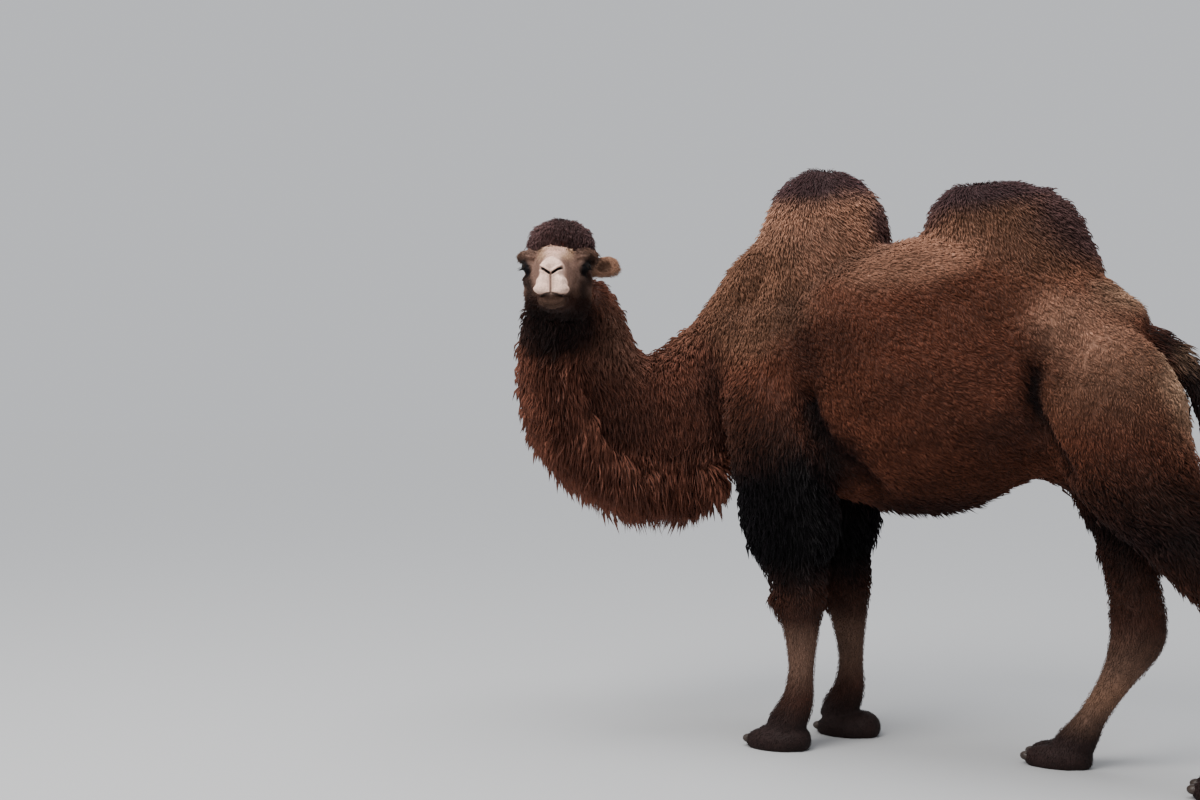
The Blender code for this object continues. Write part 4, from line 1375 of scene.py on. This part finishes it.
SHORT_LOCKS = lock_family("short_lock", (0.36,))
MIDDLE_LOCKS = lock_family("middle_lock", (0.26, 0.60))
LONG_LOCKS = lock_family("long_lock", (0.18, 0.44, 0.72))
print("kinds of lock:", [thing.name for thing in LONG_LOCKS.objects])

# %% [markdown]
# The tree below plants locks on any patch of skin. Distribute Points on Faces keeps them a
# set distance apart. Two Align Rotation nodes turn each one to its combing. A second, sparser
# sowing gives the middles of the clumps: after the instances are real, every tip is drawn
# towards the nearest of these, which is what makes wool look like wool and not like grass.

# %% Build the planting tree
def add_node(tree, kind, sockets=None, **settings):
    """A node with its settings, and its sockets given values or links."""
    made = tree.nodes.new(kind)
    for key, value in settings.items():
        setattr(made, key, value)
    for key, value in (sockets or {}).items():
        if isinstance(value, bpy.types.NodeSocket):
            tree.links.new(value, made.inputs[key])
        else:
            made.inputs[key].default_value = value
    return made


def math_node(tree, operation, a, b):
    return add_node(tree, "ShaderNodeMath", {0: a, 1: b}, operation=operation).outputs[0]


def times(tree, a, b):
    return math_node(tree, "MULTIPLY", a, b)


def vector_node(tree, operation, a, b):
    return add_node(tree, "ShaderNodeVectorMath", {0: a, 1: b}, operation=operation).outputs[0]


def scaled(tree, vector, factor):
    sockets = {0: vector, "Scale": factor}
    return add_node(tree, "ShaderNodeVectorMath", sockets, operation="SCALE").outputs[0]


def named(tree, name, kind="FLOAT"):
    made = add_node(tree, "GeometryNodeInputNamedAttribute", {"Name": name}, data_type=kind)
    return made.outputs["Attribute"]


def stored(tree, geometry, name, value, kind, domain="POINT"):
    """The geometry with a value kept under a name."""
    sockets = {"Geometry": geometry, "Name": name, "Value": value}
    settings = {"data_type": kind, "domain": domain}
    return add_node(tree, "GeometryNodeStoreNamedAttribute", sockets, **settings).outputs[0]


def chance(tree, low, high, seed):
    """A random number for each point."""
    sockets = {2: low, 3: high, "Seed": seed}
    return add_node(tree, "FunctionNodeRandomValue", sockets, data_type="FLOAT").outputs[1]


COAT_INPUTS = {  # named as the fields of a wool are
    "geometry": "Geometry",
    "locks": "Collection",
    "material": "Material",
    "spacing": "Float",
    "width": "Float",
    "clump": "Float",
    "gather": "Float",
    "sway": "Float",
    "seed": "Int",
}
PATCH_WIDTH = 0.003  # of a lock on the coat's UV map
CANDIDATES = 3.0  # points tried for each square of the spacing


def sown(tree, skin_socket, spacing, seed):
    dense = math_node(tree, "DIVIDE", CANDIDATES, times(tree, spacing, spacing))
    sockets = {"Mesh": skin_socket, "Distance Min": spacing, "Density Max": dense, "Seed": seed}
    kind = "GeometryNodeDistributePointsOnFaces"
    return add_node(tree, kind, sockets, distribute_method="POISSON").outputs["Points"]


def coat_tree():
    tree = bpy.data.node_groups.new("Plant a coat", "GeometryNodeTree")
    for name, kind in COAT_INPUTS.items():
        tree.interface.new_socket(name=name, in_out="INPUT", socket_type="NodeSocket" + kind)
    tree.interface.new_socket(name="Geometry", in_out="OUTPUT", socket_type="NodeSocketGeometry")
    given = tree.nodes.new("NodeGroupInput").outputs

    roots = sown(tree, given["geometry"], given["spacing"], given["seed"])
    other_seed = math_node(tree, "ADD", given["seed"], 7)
    middles = sown(tree, given["geometry"], given["clump"], other_seed)
    here = tree.nodes.new("GeometryNodeInputPosition").outputs[0]
    nearest = add_node(tree, "GeometryNodeSampleNearest", {0: middles, "Sample Position": here})
    sockets = {"Geometry": middles, "Value": here, "Index": nearest.outputs[0]}
    middle = add_node(tree, "GeometryNodeSampleIndex", sockets, data_type="FLOAT_VECTOR")
    pull = vector_node(tree, "SUBTRACT", middle.outputs[0], here)
    roots = stored(tree, roots, "pull", pull, "FLOAT_VECTOR")
    shade = chance(tree, 0.0, 1.0, math_node(tree, "ADD", given["seed"], 1))
    roots = stored(tree, roots, "shade", shade, "FLOAT")

    ends = {0: (-1, -1, -1), 1: (1, 1, 1)}
    sway = add_node(tree, "FunctionNodeRandomValue", ends, data_type="FLOAT_VECTOR")
    sway = scaled(tree, sway.outputs[0], given["sway"])
    lie = vector_node(tree, "ADD", named(tree, "lie", "FLOAT_VECTOR"), sway)
    turn = add_node(tree, "FunctionNodeAlignRotationToVector", {"Vector": lie}, axis="Z")
    sockets = {"Rotation": turn.outputs[0], "Vector": named(tree, "out", "FLOAT_VECTOR")}
    turn = add_node(tree, "FunctionNodeAlignRotationToVector", sockets, axis="Y", pivot_axis="Z")

    width = times(tree, given["width"], chance(tree, 0.7, 1.3, 2))
    width = times(tree, width, named(tree, "slim"))
    height = times(tree, named(tree, "coat"), chance(tree, 0.75, 1.15, 3))
    length = times(tree, named(tree, "hair"), chance(tree, 0.7, 1.15, 4))
    size = add_node(tree, "ShaderNodeCombineXYZ", {0: width, 1: height, 2: length}).outputs[0]
    sockets = {"Collection": given["locks"], "Separate Children": True}
    locks = add_node(tree, "GeometryNodeCollectionInfo", sockets)
    sockets = {4: 0, 5: LOCK_KINDS - 1, "Seed": 5}
    pick = add_node(tree, "FunctionNodeRandomValue", sockets, data_type="INT").outputs[2]
    sockets = {
        "Points": roots,
        "Instance": locks.outputs[0],
        "Pick Instance": True,
        "Instance Index": pick,
        "Rotation": turn.outputs[0],
        "Scale": size,
    }
    planted = add_node(tree, "GeometryNodeInstanceOnPoints", sockets).outputs[0]
    real = add_node(tree, "GeometryNodeRealizeInstances", {0: planted}).outputs[0]

    grain = named(tree, "grain", "FLOAT_VECTOR")
    grain = add_node(tree, "ShaderNodeSeparateXYZ", {0: grain}).outputs
    late = math_node(tree, "POWER", grain[2], 1.6)
    reach = times(tree, late, given["gather"])
    drawn = scaled(tree, named(tree, "pull", "FLOAT_VECTOR"), reach)
    real = add_node(tree, "GeometryNodeSetPosition", {"Geometry": real, "Offset": drawn}).outputs[0]

    flat = add_node(tree, "ShaderNodeCombineXYZ", {0: grain[0], 1: grain[2], 2: 0.0}).outputs[0]
    home = named(tree, "home", "FLOAT_VECTOR")
    spot = vector_node(tree, "ADD", home, scaled(tree, flat, PATCH_WIDTH))
    mapped = stored(tree, real, "OFBake", spot, "FLOAT2", "CORNER")
    sockets = {"Geometry": mapped, "Material": given["material"]}
    done = add_node(tree, "GeometryNodeSetMaterial", sockets).outputs[0]
    leaving = tree.nodes.new("NodeGroupOutput")
    tree.links.new(done, leaving.inputs[0])
    return tree


COAT_TREE = coat_tree()
print("the planting tree has", len(COAT_TREE.nodes), "nodes")

# %% [markdown]
# Wool is rough, a little shiny along its edge and never one colour. The shader takes its
# colour from the attribute that the skin passed on to each lock, darkens the root, lightens
# the tip and lets each lock be its own shade. Sheen is set on the shader's own socket.

# %% Mix the wool
WOOL_ROUGHNESS = 0.85
WOOL_SHEEN = 0.04
SHEEN_ROUGHNESS = 0.45


def new_material(name, roughness, specular):
    material = bpy.data.materials.new(name)
    material.use_nodes = True
    shader = material.node_tree.nodes["Principled BSDF"]
    shader.inputs["Roughness"].default_value = roughness
    shader.inputs["Specular IOR Level"].default_value = specular
    return material, material.node_tree, shader


def object_place(tree):
    return tree.nodes.new("ShaderNodeTexCoord").outputs["Object"]


def attribute(tree, name, output="Fac"):
    return add_node(tree, "ShaderNodeAttribute", attribute_name=name).outputs[output]


def noise_node(tree, vector, scale, detail=2.0):
    sockets = {"Vector": vector, "Scale": scale, "Detail": detail}
    return add_node(tree, "ShaderNodeTexNoise", sockets).outputs["Fac"]


def range_node(tree, value, low, high, new_low, new_high):
    sockets = {0: value, 1: low, 2: high, 3: new_low, 4: new_high}
    return add_node(tree, "ShaderNodeMapRange", sockets).outputs[0]


def spread(tree, noise, low, high):
    """Noise lies mostly between 0.3 and 0.7; this stretches it to another range."""
    return range_node(tree, noise, 0.3, 0.7, low, high)


def bumped(tree, shader, height, distance, strength=1.0):
    sockets = {"Height": height, "Distance": distance, "Strength": strength}
    bump = add_node(tree, "ShaderNodeBump", sockets)
    tree.links.new(bump.outputs[0], shader.inputs["Normal"])


def wool_material(name, root, tip, variety):
    """Wool as bright as it says at root and tip; variety is how far locks differ."""
    material, tree, shader = new_material(name, WOOL_ROUGHNESS, 0.07)
    shader.inputs["Sheen Weight"].default_value = WOOL_SHEEN
    shader.inputs["Sheen Roughness"].default_value = SHEEN_ROUGHNESS
    grain = attribute(tree, "grain", "Vector")
    along = add_node(tree, "ShaderNodeSeparateXYZ", {0: grain}).outputs[2]
    fade = range_node(tree, along, 0.0, 0.8, root, tip)
    own = range_node(tree, attribute(tree, "shade"), 0.0, 1.0, 1 - variety, 1 + variety)
    dust = spread(tree, noise_node(tree, object_place(tree), 40.0), 0.88, 1.12)
    light = times(tree, times(tree, fade, own), dust)
    colour = scaled(tree, attribute(tree, "tint", "Color"), light)
    tree.links.new(colour, shader.inputs["Base Color"])
    strands = add_node(tree, "ShaderNodeMapping", {"Vector": grain, "Scale": (9.0, 9.0, 1.2)})
    bumped(tree, shader, noise_node(tree, strands.outputs[0], 1.0, 1.0), 0.0012, 0.6)
    return material


WOOL = wool_material("wool", 0.50, 1.25, 0.24)
FUR = wool_material("short fur", 0.80, 1.08, 0.12)
print("hair:", WOOL.name, "and", FUR.name)

# %% [markdown]
# The skin carries the same colours, so that wherever the locks part there is wool below and not
# paint. Where the wool over it is deep, painted shade makes it darker.

# %% Mix the skin
def skin_material():
    material, tree, shader = new_material("skin", 0.7, 0.15)
    place = object_place(tree)
    grain = noise_node(tree, place, 240.0, 5.0)
    blotches = spread(tree, noise_node(tree, place, 60.0), 0.86, 1.10)
    light = times(tree, spread(tree, grain, 0.78, 1.20), blotches)
    colour = scaled(tree, attribute(tree, "tint", "Color"), light)
    tree.links.new(colour, shader.inputs["Base Color"])
    bumped(tree, shader, grain, 0.0022, 0.7)
    return material


SKIN = skin_material()
print("materials:", [material.name for material in bpy.data.materials])

# %% [markdown]
# Now the skin is studied. Everything that its points know is kept as plain arrays, because
# the coat's patches are cut out of them.

# %% Study the finished skin
skin_mesh = bmesh.new()
skin_mesh.from_mesh(skin.data)
bmesh.ops.triangulate(skin_mesh, faces=skin_mesh.faces)
skin_mesh.to_mesh(skin.data)
skin_mesh.free()
spots = positions(skin.data)
spots[:, 2] = np.maximum(spots[:, 2], 0.0)  # the soles are pressed flat
set_positions(skin.data, spots)
normals = vertex_normals(skin.data)
corners = np.empty(len(skin.data.polygons) * 3, int)
skin.data.loops.foreach_get("vertex_index", corners)
corners = corners.reshape(-1, 3)
near, share = study(spots)
lie, hair, coat = comb(spots, normals, near, share)
tint = coat_colour(spots, share)
tint = towards(tint, np.array(CUP_COLOUR), (CUP_TINTING * cupped_skin)[:, None])
# painted shade in the folds, in the slits of the muzzle and round the eyes
tint = towards(tint, np.array(BLACK), np.maximum(painted_shade, fold_shade)[:, None])
names = list(ROWS)
owner = np.argmax([share[name] for name in names], axis=0)
print("studied", len(spots), "points after", round(time.time() - start, 1), "s")

# %% [markdown]
# The skin moves to its place over the solids and takes the place of every node of flesh. It
# gets painted shade where the wool over it is deep.

# %% Dress the skin
UNDERCOAT_SHADE = 0.62  # how dark the skin is under deep wool
DEEP_WOOL = 0.014


def with_alpha(colour):
    return np.hstack((np.clip(colour, 0, 1), np.ones((len(colour), 1))))


def finish_piece(piece, slot, *nodes):
    """Every piece rides on the one body and stands for the solids that it dresses."""
    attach(piece, "root")
    if nodes:
        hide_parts(*nodes)


FLESH = [name for name in frame["nodes"] if not name.startswith("eye")]
# painted shade under the wool, darkest where the coat is deepest
under = 1 - (1 - UNDERCOAT_SHADE) * np.clip(coat / DEEP_WOOL, 0, 1)
add_attribute(skin.data, "tint", with_alpha(tint * under[:, None]))
skin.data.transform(Matrix.Translation(PLACE))
skin.data.shade_smooth()
skin.data.materials.clear()
skin.data.materials.append(SKIN)
finish_piece(skin, "brown_wool", *FLESH)
print("skin:", len(corners), "triangles for", len(FLESH), "nodes")

# %% [markdown]
# The coat is planted in pieces, each on its own patch of skin, because one mesh of all the
# locks would be too heavy. Every patch is unrolled like a sleeve: how far along its row a
# point lies, and the angle round it. Each lock remembers where on this unrolled map it is
# rooted.

# %% Cut the skin into patches
MAP_MARGIN = 0.01
FULL_WIDTH_HAIR = 0.010  # shorter hair grows in thinner locks
SLIMMEST = 0.35


def unrolled(faces):
    """Where the corners of some faces lie on the unrolled map, one strip for each row."""
    row_of = owner[corners[faces, 0]]
    home = np.zeros((len(faces), 3, 3))
    low = 0.0
    for number in np.unique(row_of):
        mine = row_of == number
        one = near[names[number]]
        points = corners[faces[mine]]
        along = one.passed[points]
        angle = one.angle[points]
        angle = angle[:, :1] + (angle - angle[:, :1] + math.pi) % (2 * math.pi) - math.pi
        high = low + mine.sum() / len(faces)
        u, v = ((part - part.min()) / max(np.ptp(part), 1e-6) for part in (along, angle))
        home[mine, :, 0] = MAP_MARGIN + (1 - 2 * MAP_MARGIN) * u
        home[mine, :, 1] = low + (high - low) * (MAP_MARGIN + (1 - 2 * MAP_MARGIN) * v)
        low = high
    return home


def seedbed(name, points, faces, known, home):
    """A temporary object whose points know all that the planting tree asks of them."""
    data = bpy.data.meshes.new(name)
    data.from_pydata((points + np.array(PLACE)).tolist(), [], faces)
    for key, values in known.items():
        add_attribute(data, key, values)
    add_attribute(data, "home", home, "CORNER")
    return linked(name, data)


def patch_of(faces, name):
    """A seedbed made of some of the skin's faces."""
    used, local = np.unique(corners[faces], return_inverse=True)
    known = {
        "lie": lie[used],
        "out": normals[used],
        "hair": hair[used],
        "coat": coat[used],
        "slim": np.clip(hair[used] / FULL_WIDTH_HAIR, SLIMMEST, 1),
        "tint": with_alpha(tint[used]),
    }
    return seedbed(name, spots[used], local.reshape(-1, 3).tolist(), known, unrolled(faces))


def rows_named(*wanted):
    """Which faces belong to some rows."""
    numbers = [names.index(name) for name in wanted]
    return np.isin(owner[corners[:, 0]], numbers)


FOOT_TOP = 0.125
SHIN_TOP = 0.55
FORE_END = 0.45  # where the trunk's front half ends
VELVET = 0.0045  # hair shorter than this is left to the skin's own bump
SOLE = 0.014  # below this height the feet are bare pads
middle = spots[corners].mean(axis=1)
trunk = rows_named("trunk", "withers")
left = middle[:, 1] < 0
fore = middle[:, 0] < FORE_END
high = middle[:, 2] > SHIN_TOP
fore_legs = rows_named("fore_left", "fore_right")
hind_legs = rows_named("hind_left", "hind_right")
feet = (fore_legs | hind_legs) & (middle[:, 2] < FOOT_TOP)
shins = (fore_legs | hind_legs) & ~high & ~feet
face = rows_named("skull", "pads", "lip", "chin", "ear_left", "ear_right")
crown = rows_named("topknot")
by_eyes = by_the_eyes(in_head(middle))
furred = ~bare_skin[corners].any(axis=1) & (hair[corners].mean(axis=1) > VELVET)
furred &= middle[:, 2] > SOLE
print("faces with hair:", int(furred.sum()), "of", len(furred))

# %% [markdown]
# Every patch has its own wool: how far apart the locks stand, how wide they are, how they
# clump and how much they stray. Length and depth come from the stations.

# %% Plant the coat
Wool = namedtuple("Wool", "faces locks material slot spacing width clump gather sway")
FINE = (0.0046, 0.0042, 0.022, 0.50, 0.26)  # spacing, width, clump, gather and sway
DOWNY = (0.0052, 0.0040, 0.016, 0.20, 0.26)
TUFTED = (0.0054, 0.0046, 0.024, 0.45, 0.26)
SHAGGY = (0.0064, 0.0042, 0.030, 0.50, 0.28)
HANGING = (0.0066, 0.0046, 0.034, 0.50, 0.22)
FRINGED = (0.0052, 0.0038, 0.030, 0.45, 0.20)
SLEEK = (0.0062, 0.0044, 0.018, 0.25, 0.16)
FACIAL = (0.0030, 0.0026, 0.012, 0.3, 0.16)
ROUND_EYES = (0.0018, 0.0017, 0.006, 0.3, 0.14)
MOPPED = (0.0030, 0.0024, 0.016, 0.30, 0.26)
LASHING = (0.0011, 0.0012, 0.006, 0.3, 0.10)
QUARTERS = {
    "coat_fore_left": left & fore,
    "coat_fore_right": ~left & fore,
    "coat_hind_left": left & ~fore,
    "coat_hind_right": ~left & ~fore,
}
COATS = {
    name: Wool(trunk & quarter, SHORT_LOCKS, WOOL, "brown_wool", *FINE)
    for name, quarter in QUARTERS.items()
}
COATS |= {
    "coat_hump_front": Wool(rows_named("hump_front"), MIDDLE_LOCKS, WOOL, "dark_wool", *DOWNY),
    "coat_hump_rear": Wool(rows_named("hump_rear"), MIDDLE_LOCKS, WOOL, "dark_wool", *DOWNY),
    "coat_neck": Wool(rows_named("neck"), MIDDLE_LOCKS, WOOL, "red_wool", *SHAGGY),
    "coat_mane": Wool(rows_named("mane"), MIDDLE_LOCKS, WOOL, "red_wool", *FRINGED),
    "coat_fore_legs": Wool(fore_legs & high, MIDDLE_LOCKS, WOOL, "dark_wool", *HANGING),
    "coat_thighs": Wool(hind_legs & high, SHORT_LOCKS, WOOL, "brown_wool", *TUFTED),
    "coat_shins": Wool(shins, SHORT_LOCKS, FUR, "short_fur", *SLEEK),
    "coat_feet": Wool(feet, SHORT_LOCKS, FUR, "foot", *SLEEK),
    "coat_tail": Wool(rows_named("tail"), LONG_LOCKS, WOOL, "dark_wool", *HANGING),
    "coat_head": Wool(face & ~by_eyes, SHORT_LOCKS, FUR, "face", *FACIAL),
    "coat_eyes": Wool(face & by_eyes, SHORT_LOCKS, FUR, "face", *ROUND_EYES),
    "coat_topknot": Wool(crown, MIDDLE_LOCKS, WOOL, "dark_wool", *MOPPED),
}
LEFTOVERS = ("lie", "out", "hair", "coat", "slim", "pull", "home")
FIRST_SEED = 40


def grown(piece, wool, seed):
    """Plants locks all over a seedbed, which becomes the finished piece."""
    given = {item.name: item.identifier for item in COAT_TREE.interface.items_tree}
    grow = piece.modifiers.new("Coat", "NODES")
    grow.node_group = COAT_TREE
    for field in COAT_INPUTS:
        if field in wool._fields:
            grow[given[field]] = getattr(wool, field)
    grow[given["seed"]] = seed
    bake(piece)
    for leftover in LEFTOVERS:
        if leftover in piece.data.attributes:
            piece.data.attributes.remove(piece.data.attributes[leftover])
    finish_piece(piece, wool.slot)
    return piece


coats = []
for seed, (name, wool) in enumerate(COATS.items(), FIRST_SEED):
    coats.append(grown(patch_of(np.flatnonzero(wool.faces & furred), name), wool, seed))
triangles = {piece.name: sum(len(p.vertices) - 2 for p in piece.data.polygons) for piece in coats}
print("coat triangles:", triangles)
print("in all", sum(triangles.values()), "after", round(time.time() - start, 1), "s")

# %% [markdown]
# ## Eyes, lashes and nails
# The eyeballs are separate pieces. Each has a cornea that stands out a little, and a dark iris
# round a level oval pupil.

# %% Model the eyes
EYE_NODES = ("eye_left", "eye_right")
PUPIL = 0.22  # half heights, in the eyeball's radius
IRIS = 0.52
CORNEA_EDGE = 0.75  # how far along the eye's axis the cornea starts, in its radius
CORNEA_BULGE = 0.07


def eye_material():
    """Nearly black, with a brown iris round a level oval pupil."""
    material, tree, shader = new_material("eye", 0.10, 0.22)
    across = add_node(tree, "ShaderNodeSeparateXYZ", {0: attribute(tree, "gaze", "Vector")}).outputs
    wide = times(tree, across[0], 0.62)
    far = add_node(tree, "ShaderNodeCombineXYZ", {0: wide, 1: across[1], 2: 0.0}).outputs[0]
    size = add_node(tree, "ShaderNodeVectorMath", {0: far}, operation="LENGTH").outputs["Value"]
    ring = add_node(tree, "ShaderNodeValToRGB", {0: size})
    ring.color_ramp.elements[0].position = PUPIL
    ring.color_ramp.elements[0].color = (0.002, 0.002, 0.002, 1)
    ring.color_ramp.elements[1].position = PUPIL + 0.06
    ring.color_ramp.elements[1].color = (0.016, 0.008, 0.005, 1)
    ring.color_ramp.elements.new(IRIS).color = (0.006, 0.004, 0.003, 1)
    tree.links.new(ring.outputs[0], shader.inputs["Base Color"])
    return material


def eyeball(name, side):
    """A ball with a cornea that bulges a little; gaze is how far off its axis a point is."""
    mesh = bmesh.new()
    bmesh.ops.create_uvsphere(mesh, u_segments=48, v_segments=32, radius=1)
    looks = (HEAD.to_3x3() @ Vector((EYE_LOOKS.x, side * EYE_LOOKS.y, EYE_LOOKS.z))).normalized()
    centre = HEAD @ Vector(eye_centre(side)) + PLACE
    level = Vector((0, 0, 1)).cross(looks).normalized()
    upright = looks.cross(level)
    gaze = []
    for vert in mesh.verts:
        gaze.append((vert.co @ level, vert.co @ upright, vert.co @ looks))
        bulge = 1 + CORNEA_BULGE * max(vert.co @ looks - CORNEA_EDGE, 0) / (1 - CORNEA_EDGE)
        vert.co = centre + vert.co * EYE_RADIUS * bulge
    smooth(mesh)
    thing = thing_from(mesh, name + "_ball")
    add_attribute(thing.data, "gaze", gaze)
    thing.data.materials.append(EYE_MATERIAL)
    finish_piece(thing, "eye", name)
    return thing


EYE_MATERIAL = eye_material()
eyes = [eyeball(name, side) for name, side in zip(EYE_NODES, (1, -1))]
print("eyes:", [eye.name for eye in eyes])

# %% [markdown]
# The lashes need nothing new: a narrow ribbon is laid along the edge of each lid, told which
# way its hair lies, and planted by the same tree.

# %% Plant the lashes
LASHES = {"upper": (0.020, 0.62, 0.55), "lower": (0.011, -0.58, -0.40)}  # length, edge, lift
LASH_STEPS = 24
LASH_SPAN = 0.80  # how far the ribbon reaches to each side, in radians
LASH_ROOTS = 0.07  # how wide the ribbon is, in radians
LASH_FAN = 0.5  # how much the lashes spread at the corners of the eye
LASH_COAT = 0.004
LASH_SEED = 77
LASH_WOOL = Wool(None, SHORT_LOCKS, FUR, "face", *LASHING)
LASH_COLOUR = (0.008, 0.006, 0.005)


def lash_ribbon(side, edge, lift):
    """Points along one lid of one eye, and the way their lashes lie, in the head's plan."""
    looks, ahead, upward = eye_axes(side)
    across = np.linspace(-LASH_SPAN, LASH_SPAN, LASH_STEPS)
    taper = 1 - (across / OPENING[0]) ** 2
    ribbon = []
    for step in (0, LASH_ROOTS):
        up = edge * taper + math.copysign(step, edge) + LID_SLANT * across
        way = looks + ahead * np.tan(across)[:, None] + upward * np.tan(up)[:, None]
        ribbon.append(unit(way) * (EYE_RADIUS + LID_THICKNESS))
    lies = unit(looks + ahead * LASH_FAN * across[:, None] + upward * lift)
    return np.vstack(ribbon) + eye_centre(side), np.vstack((lies, lies))


def lash_patch():
    """All four ribbons as one seedbed."""
    ribbons = []
    faces = []
    for side in (1, -1):
        for length, edge, lift in LASHES.values():
            first = LASH_STEPS * 2 * len(ribbons)
            for k in range(first, first + LASH_STEPS - 1):
                faces.append((k, k + 1, k + 1 + LASH_STEPS, k + LASH_STEPS))
            points, lies = lash_ribbon(side, edge, lift)
            ribbons.append((points, lies, np.full(len(points), length)))
    points, lies, hairs = (np.concatenate(parts) for parts in zip(*ribbons))
    points = from_head(points)
    known = {
        "lie": lies @ HEAD_AXES,
        "out": np.tile((0.0, 0.0, 1.0), (len(points), 1)),
        "hair": hairs,
        "coat": np.full(len(points), LASH_COAT),
        "slim": np.ones(len(points)),
        "tint": with_alpha(np.tile(LASH_COLOUR, (len(points), 1))),
    }
    home = (points + np.array(PLACE))[np.array(faces)]
    home = (home - home.min(axis=(0, 1))) / np.ptp(home, axis=(0, 1)).max()
    return seedbed("eyelashes", points, faces, known, home)


lashes = grown(lash_patch(), LASH_WOOL, LASH_SEED)
print("eyelashes:", len(lashes.data.polygons), "faces")

# %% [markdown]
# Each toe ends in a small rounded nail. Horn is smooth, hard and streaked along its growth.
# The nails are flattened balls whose undersides stop just above the ground.

# %% Shape the nails
NAIL_RADII = Vector((0.024, 0.019, 0.017))
NAIL_SUNK = 0.010  # how far a nail's middle sits behind the tip of its toe
NAIL_HEIGHT = 0.030
NAIL_UNDERSIDE = 0.016
HORN = (0.036, 0.024, 0.019)


def horn_material():
    material, tree, shader = new_material("horn", 0.45, 0.4)
    sockets = {"Vector": object_place(tree), "Scale": (60.0, 60.0, 420.0)}
    streaks = add_node(tree, "ShaderNodeMapping", sockets)
    grain = noise_node(tree, streaks.outputs[0], 1.0)
    colour = scaled(tree, HORN, spread(tree, grain, 0.6, 1.5))
    tree.links.new(colour, shader.inputs["Base Color"])
    bumped(tree, shader, grain, 0.0008, 0.5)
    return material


def nails():
    mesh = bmesh.new()
    for foot in FEET.values():
        for side in (-1, 1):
            reach = foot.half_length * TOE_LENGTH + TOE_AHEAD - FOOT_COAT
            aside = side * foot.half_width * TOE_SPREAD
            spot = Vector((foot.x - reach + NAIL_SUNK, foot.y + aside, NAIL_HEIGHT))
            matrix = Matrix.Translation(spot + PLACE) @ Matrix.Diagonal((*NAIL_RADII, 1))
            bmesh.ops.create_uvsphere(mesh, u_segments=20, v_segments=12, radius=1, matrix=matrix)
    for vert in mesh.verts:
        vert.co.z = max(vert.co.z, NAIL_UNDERSIDE)
    smooth(mesh)
    thing = thing_from(mesh, "toenails")
    thing.data.materials.append(horn_material())
    finish_piece(thing, "foot")
    return thing


toenails = nails()
print("toenails:", len(toenails.data.polygons), "faces")

# %% [markdown]
# ## The light
# The floor is a wide pale disc of the same shade as the room, so that no horizon shows. A big
# soft lamp stands at the front on the left. A wide sun from above keeps the floor as bright at
# its edge as under the animal.

# %% Lay the floor and set the light
FLOOR_RADIUS = 150.0
FLOOR_COLOUR = (0.412, 0.414, 0.418, 1)
ROOM_COLOUR = (0.86, 0.88, 0.92, 1)
KEY_SPOT = Vector((-1.5, -5.0, 6.0))
KEY_AIM = Vector((0, 0, 1.2))
OVERHEAD = (0.10, -0.12, 1.0)
WARM = (1.0, 0.97, 0.93)
COOL = (0.97, 0.98, 1.0)


def add_floor():
    mesh = bmesh.new()
    bmesh.ops.create_circle(mesh, cap_ends=True, segments=96, radius=FLOOR_RADIUS)
    floor = thing_from(mesh, "floor")
    material, _, shader = new_material("pale floor", 1.0, 0.0)
    shader.inputs["Base Color"].default_value = FLOOR_COLOUR
    floor.data.materials.append(material)


def add_light(name, kind, power, colour, comes_from, **settings):
    """A light that shines from one way, with any settings of its own kind."""
    data = bpy.data.lights.new(name, kind)
    data.energy = power
    data.color = colour
    for key, value in settings.items():
        setattr(data, key, value)
    light = linked(name, data)
    light.rotation_euler = Vector(comes_from).to_track_quat("Z", "Y").to_euler()
    return light


def add_world():
    world = bpy.data.worlds.new("pale room")
    world.use_nodes = True
    background = world.node_tree.nodes["Background"]
    background.inputs["Color"].default_value = ROOM_COLOUR
    background.inputs["Strength"].default_value = 0.75
    bpy.context.scene.world = world


add_floor()
key_light = add_light("key", "AREA", 560, WARM, KEY_SPOT - KEY_AIM, shape="DISK", size=4.0)
key_light.location = KEY_SPOT
sky_light = add_light("sky light", "SUN", 3.0, COOL, OVERHEAD, angle=math.radians(50))
add_world()
print("lights:", key_light.name, "and", sky_light.name)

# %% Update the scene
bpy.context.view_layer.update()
print("made in", round(time.time() - start, 1), "s")
